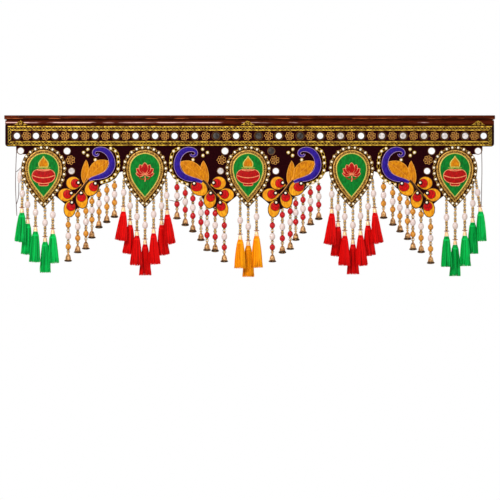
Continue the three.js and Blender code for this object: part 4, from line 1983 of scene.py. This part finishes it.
@dataclass
class TasselGroup:
    """The beaded strings under one medallion and their silk tassels."""

    index: int
    x: float
    silk: SilkColour
    fan: float
    skirt: Place
    tassels: tuple
    beads: dict[Bead, bpy.types.Mesh]
    fan_reach: float = 46.0
    strands: int = 230
    bead_pitch: float = 5.9
    white_rise: float = 39.0
    neck: float = 4.3
    cup: tuple = ((4.5, 0.4), (4.6, 1.4), (3.9, 4.4), (3.3, 8.4), (2.0, 9.2))
    collar: tuple = ((2.0, 9.6), (5.2, 10.1), (5.6, 10.8), (5.0, 11.5), (1.6, 12.2))
    washer: tuple = ((1.0, -0.7), (2.5, 0.0), (1.0, 0.7))
    core: tuple = (0.02, 0.12, 0.3, 0.6, 0.95)
    strand: tuple = ((0.0, 0.42), (0.14, 0.48), (0.4, 0.56), (0.7, 0.56), (1.0, 0.3))

    def string(self, piece: Piece, root: TasselRoot, top: float) -> None:
        """Threads the beads and the cap of one string.

        Args:
            piece: the piece they are added to.
            root: of the string.
            top: drop of the tassel's top.
        """
        slant = -root.lean + Vector((0, 0, 1))
        piece.add(turned(self.cup, root.at(top), 12, slant), ROSE_GOLD)
        piece.add(turned(self.collar, root.at(top), 12, slant), COLLAR)
        path = [root.at(drop) for drop in (top - 11, root.drop + 5, root.drop - 3)]
        piece.add(tube(path, 0.45 * MM, 5), BEAD_GOLD)
        white = top - self.white_rise
        piece.stamp(self.beads[Bead.WHITE], WHITE_GLASS, root.at(white))
        for first, last in ((top - 14.2, white + 9.2), (white - 9.4, root.drop + 3.0)):
            count = max(1, round((first - last) / self.bead_pitch))
            for k in range(count + 1):
                drop = first + (last - first) * k / count
                piece.stamp(self.beads[Bead.GOLD], BEAD_GOLD, root.at(drop))
                piece.add(turned(self.washer, root.at(drop - self.bead_pitch / 2), 8), WIRE)
                if k % 2 == 0:
                    wire_loop(piece, root.at(drop - 2.9), 2.9)

    def silk_tassel(self, order: int, root: TasselRoot, top: float, end: float) -> None:
        """Makes one silk tassel: a core, a skirt of strands and the binding of its neck.

        Args:
            order: of the tassel from the left.
            root: of its string.
            top: drop of its top.
            end: drop of its loose end.
        """
        finish = self.silk.value
        piece = Piece(f"silk_{self.index}_{order + 1}", 60.0)
        lean = self.fan * (root.at(top).x / MM - self.x) / self.fan_reach
        foot, power = self.skirt
        chance = random.Random(100 * self.index + order)

        def place(share: float, across: float, deep: float) -> Vector:
            """Finds a place in the skirt.

            Args:
                share: how far down the tassel.
                across: of the half width there, along the rail.
                deep: of the half depth there.

            Returns:
                The point.
            """
            wide = self.neck + (foot - self.neck) * share**power
            thick = 3.2 + 3.6 * share
            middle = root.at(top + share * (end - top), top)
            return middle + Vector((across * wide + lean * share**1.3, deep * thick, 0)) * MM

        core = [
            place(share, 0.8 * math.cos(a), 0.7 * math.sin(a))
            for share in self.core
            for a in ring_angles(14)
        ]
        rings = len(self.core)
        piece.add((core, bands(rings, 14) + caps(rings, 14)), finish, 0.42)
        widths = [half * MM for _, half in self.strand]
        for i in range(self.strands):
            angle = 2 * math.pi * (i + chance.random()) / self.strands
            spread = chance.uniform(0.8, 1.0)
            across, deep = spread * math.cos(angle), spread * math.sin(angle)
            reach = 1.0 - 0.07 * chance.random() ** 2 - 0.012 * max(0.0, lean * across)
            sway, flick = chance.uniform(-0.07, 0.07), chance.gauss(0, 0.05)
            path = []
            for share, _ in self.strand:
                swing = sway * math.sin(math.pi * share) + flick * share**3
                path.append(place(share * reach, across + swing, deep))
            tone = min(1.0, max(0.0, 0.58 + chance.gauss(0, 0.16)))
            piece.add(tube(path, widths, 3), finish, tone)
        for k in range(3):
            ring = [place(0.1 + 0.018 * k, math.cos(a), math.sin(a)) for a in ring_angles(16)]
            piece.add(tube(ring, 0.55 * MM, 4, True), finish, 0.75)
        piece.build(finish.slot, f"tassel_{self.index}_{order + 1}")

    def build(self) -> None:
        """Builds the strings and the tassels."""
        piece = Piece(f"tassel_beads_{self.index}")
        roots = []
        for order, (x, top, end) in enumerate(self.tassels):
            root = tassel_root(self.x, x, top, order)
            roots.append(spot(root.x, root.drop - 2.5, STRING_OUT))
            self.string(piece, root, top)
            self.silk_tassel(order, root, top, end)
        piece.add(tube(roots, 2.2 * MM, 4, False, 0.25), VELVET)
        piece.build("bead_gold", f"tassel_strings_{self.index}")


@dataclass
class CornerTrim:
    """The mirrors at the outer corners, the loose threads and one long bead."""

    glass: bpy.types.Mesh
    mirrors: tuple = ((-469.4, 73.0), (468.2, 73.2))
    threads: tuple = (
        ((-477.6, 66.0, 23.6), (-479.4, 100.0, 22.6), (-480.2, 150.0, 22.0), (-477.6, 206.0, 22.0)),
        ((-466.0, 104.0, 23.0), (-473.0, 111.0, 22.6), (-478.8, 116.0, 22.4)),
        ((-473.6, 139.0, 22.0), (-474.2, 166.0, 22.0), (-478.4, 182.0, 22.0)),
        ((475.6, 66.0, 23.6), (476.4, 110.0, 22.6), (475.8, 150.0, 22.0), (475.0, 186.0, 21.6)),
        ((-165.0, 174.0, 27.0), (-151.0, 176.6, 28.2), (-142.0, 174.0, 28.2), (-137.6, 168.6, 27.6)),
    )
    bead: tuple = ((1.6, 0.0), (3.6, 5.0), (4.6, 12.0), (4.2, 19.0), (2.4, 25.0), (1.2, 27.0))
    bead_foot: tuple = (-472.8, 139.0, 22.0)

    def build(self) -> None:
        """Builds both corners."""
        piece = Piece("corner_trim")
        for place in self.mirrors:
            sew_mirror(piece, self.glass, place, GLASS_RADIUS, MIRROR)
        for row in self.threads:
            path = resample(smoothed([spot(*place) for place in row]), 24, False)
            piece.add(tube(path, 0.75 * MM, 5), THREAD)
        lean = Vector((0.08, 0, 1))
        piece.add(turned(self.bead, spot(*self.bead_foot), 14, lean), WHITE_GLASS)
        piece.build("bead_gold")


@dataclass
class Studio:
    """Camera, lights, floor and a white surround."""

    distance: float = 6.0
    width: float = 1.025
    centre: Vector = field(default_factory=lambda: Vector((0.0007, -0.026, -0.2483)))

    def camera(self) -> None:
        """Sets the camera straight before the hanging, far off, as in the picture."""
        data = bpy.data.cameras.new("camera")
        data.sensor_width = 36.0
        data.lens = 36.0 * self.distance / self.width
        data.clip_end = 100.0
        made = bpy.data.objects.new("camera", data)
        made.location = self.centre + Vector((0, -self.distance, 0))
        made.rotation_euler = (math.pi / 2, 0, 0)
        bpy.context.scene.collection.objects.link(made)
        bpy.context.scene.camera = made

    def light(self, name: str, place: Vector, size: float, power: float) -> None:
        """Adds a soft light aimed at the hanging.

        Args:
            name: what it is called.
            place: where it stands.
            size: of its square face, in metres.
            power: in watts.
        """
        data = bpy.data.lights.new(name, "AREA")
        data.size = size
        data.energy = power
        made = bpy.data.objects.new(name, data)
        made.location = place
        made.rotation_euler = (self.centre - place).to_track_quat("-Z", "Y").to_euler()
        bpy.context.scene.collection.objects.link(made)

    def world(self) -> None:
        """Makes a white surround that lights softly and shows white."""
        world = bpy.data.worlds.new("surround")
        world.use_nodes = True
        nodes, links = world.node_tree.nodes, world.node_tree.links
        rays = nodes.new("ShaderNodeLightPath")
        level = nodes.new("ShaderNodeMapRange")
        level.inputs["To Min"].default_value = 1.0
        level.inputs["To Max"].default_value = 0.52
        links.new(rays.outputs["Is Diffuse Ray"], level.inputs["Value"])
        background = nodes["Background"]
        background.inputs["Color"].default_value = (1.0, 1.0, 1.0, 1.0)
        links.new(level.outputs["Result"], background.inputs["Strength"])
        bpy.context.scene.world = world

    def floor(self) -> None:
        """Lays a pale floor, far below the hanging as under a door."""
        clear()
        bpy.ops.mesh.primitive_plane_add(size=8.0, location=(0, 0, -1.9))
        made = bpy.context.object
        made.name = "floor"
        shader = Shader("pale floor")
        tone = shader.ramp(shader.noise(3.0), [(0.3, linear(236, 234, 230)), (0.7, linear(244, 243, 240))])
        shader.set(Base_Color=tone, Roughness=0.8)
        made.data.materials.append(shader.material)

    def build(self) -> None:
        """Sets up the studio."""
        scene = bpy.context.scene
        scene.view_settings.view_transform = "Standard"
        self.camera()
        self.world()
        self.light("key", Vector((-1.2, -2.4, 1.1)), 0.9, 62.0)
        self.light("fill", Vector((1.8, -2.2, 0.2)), 1.4, 14.0)
        self.floor()


# Middle, motif, silk, how far the skirts fan out, width and curve of a skirt, and the tassels, each
# by x and the drops of its top and end
MEDALLION_ROWS = (
    (-422.4, Motif.POT, SilkColour.GREEN, 4.0, (11.2, 0.5), (
        (-467.1, 199.9, 260.8), (-455.8, 222.2, 286.6), (-439.2, 238.4, 301.8),
        (-419.9, 259.5, 322.9), (-403.7, 243.3, 304.2),
    )),
    (-214.7, Motif.BLOOM, SilkColour.RED, 5.5, (12.7, 0.72), (
        (-259.0, 197.4, 258.3), (-245.3, 224.7, 285.6), (-231.1, 247.0, 308.7),
        (-214.7, 264.5, 328.6), (-196.9, 242.1, 306.7), (-180.7, 224.7, 288.0),
        (-168.8, 203.6, 265.7),
    )),
    (-3.2, Motif.POT, SilkColour.ORANGE, 2.5, (11.8, 0.6), (
        (-19.4, 254.6, 314.3), (-3.0, 267.1, 331.7), (14.2, 247.2, 313.0),
    )),
    (208.8, Motif.BLOOM, SilkColour.RED, 5.5, (12.7, 0.72), (
        (168.4, 201.1, 266.9), (181.5, 228.4, 290.5), (195.1, 247.0, 309.1),
        (211.9, 264.5, 326.6), (227.4, 245.8, 309.8), (242.8, 225.9, 289.3),
        (256.8, 199.9, 264.5),
    )),
    (420.8, Motif.POT, SilkColour.GREEN, 1.0, (11.2, 0.5), (
        (403.7, 248.3, 311.2), (421.8, 265.7, 330.2), (441.1, 247.0, 309.6),
        (457.9, 219.8, 284.7), (473.5, 197.4, 258.9),
    )),
)  # fmt: skip

# Middle of the medallion the bird hangs by, side, spread, sag, mirrors, bead and the bells, each by
# x and the drop of its rim
PEACOCK_ROWS = (
    (-422.4, 1, 0.0, 0.0, (MIRROR, GREY_MIRROR), AMBER, (
        (-372.2, 299.3), (-352.7, 281.9), (-335.9, 274.3), (-323.6, 251.7),
        (-309.0, 230.8), (-293.0, 220.0), (-277.3, 209.3),
    )),
    (-2.6, -1, 6.0, 4.0, (MIRROR, GREY_MIRROR), RUBY, (
        (-52.0, 300.5), (-70.8, 279.4), (-87.4, 277.4), (-99.9, 256.7),
        (-116.5, 239.2), (-132.1, 226.1), (-149.1, 212.4),
    )),
    (-3.6, 1, 3.5, 4.0, (DIM_MIRROR, MIRROR), RUBY, (
        (46.6, 300.5), (67.1, 282.5), (83.3, 274.9), (94.6, 256.3),
        (109.4, 241.5), (124.7, 224.7), (141.6, 213.6),
    )),
    (421.0, -1, 3.5, 4.5, (MIRROR, MIRROR), AMBER, (
        (371.2, 303.8), (351.7, 281.5), (334.9, 275.7), (323.8, 254.6),
        (308.2, 239.2), (293.5, 225.5), (274.6, 211.2),
    )),
)  # fmt: skip


def main() -> None:
    """Builds the studio and the hanging, in order."""
    logging.basicConfig(level=logging.INFO)
    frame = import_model()
    random.seed(7)
    clear()
    Studio().build()
    Rail().build()
    HeadingBand().build()
    for index, x in enumerate((-469.8, -4.0, 468.9), 1):
        HangingTab(index, x).build()
    PelmetCloth().build(frame)
    pearl = pearl_mesh(PEARL_RADIUS, PEARL_RADIUS, 10, 7)
    glass = mirror_mesh(GLASS_RADIUS)
    bell = bell_mesh(BELL_RIM, BELL_TALL)
    beads = {kind: pearl_mesh(*kind.value) for kind in Bead}
    for index, (x, motif, silk, fan, skirt, tassels) in enumerate(MEDALLION_ROWS, 1):
        Medallion(index, x, motif, pearl=pearl).build()
        TasselGroup(index, x, silk, fan, skirt, tassels, beads).build()
    for index, (x, side, spread, sag, mirrors, coloured, bells) in enumerate(PEACOCK_ROWS, 1):
        Peacock(index, x, side, spread, sag, mirrors, pearl).build(glass)
        BellFringe(index, bells, coloured, beads, bell).build()
    CornerTrim(glass).build()


if __name__ == "__main__":
    main()
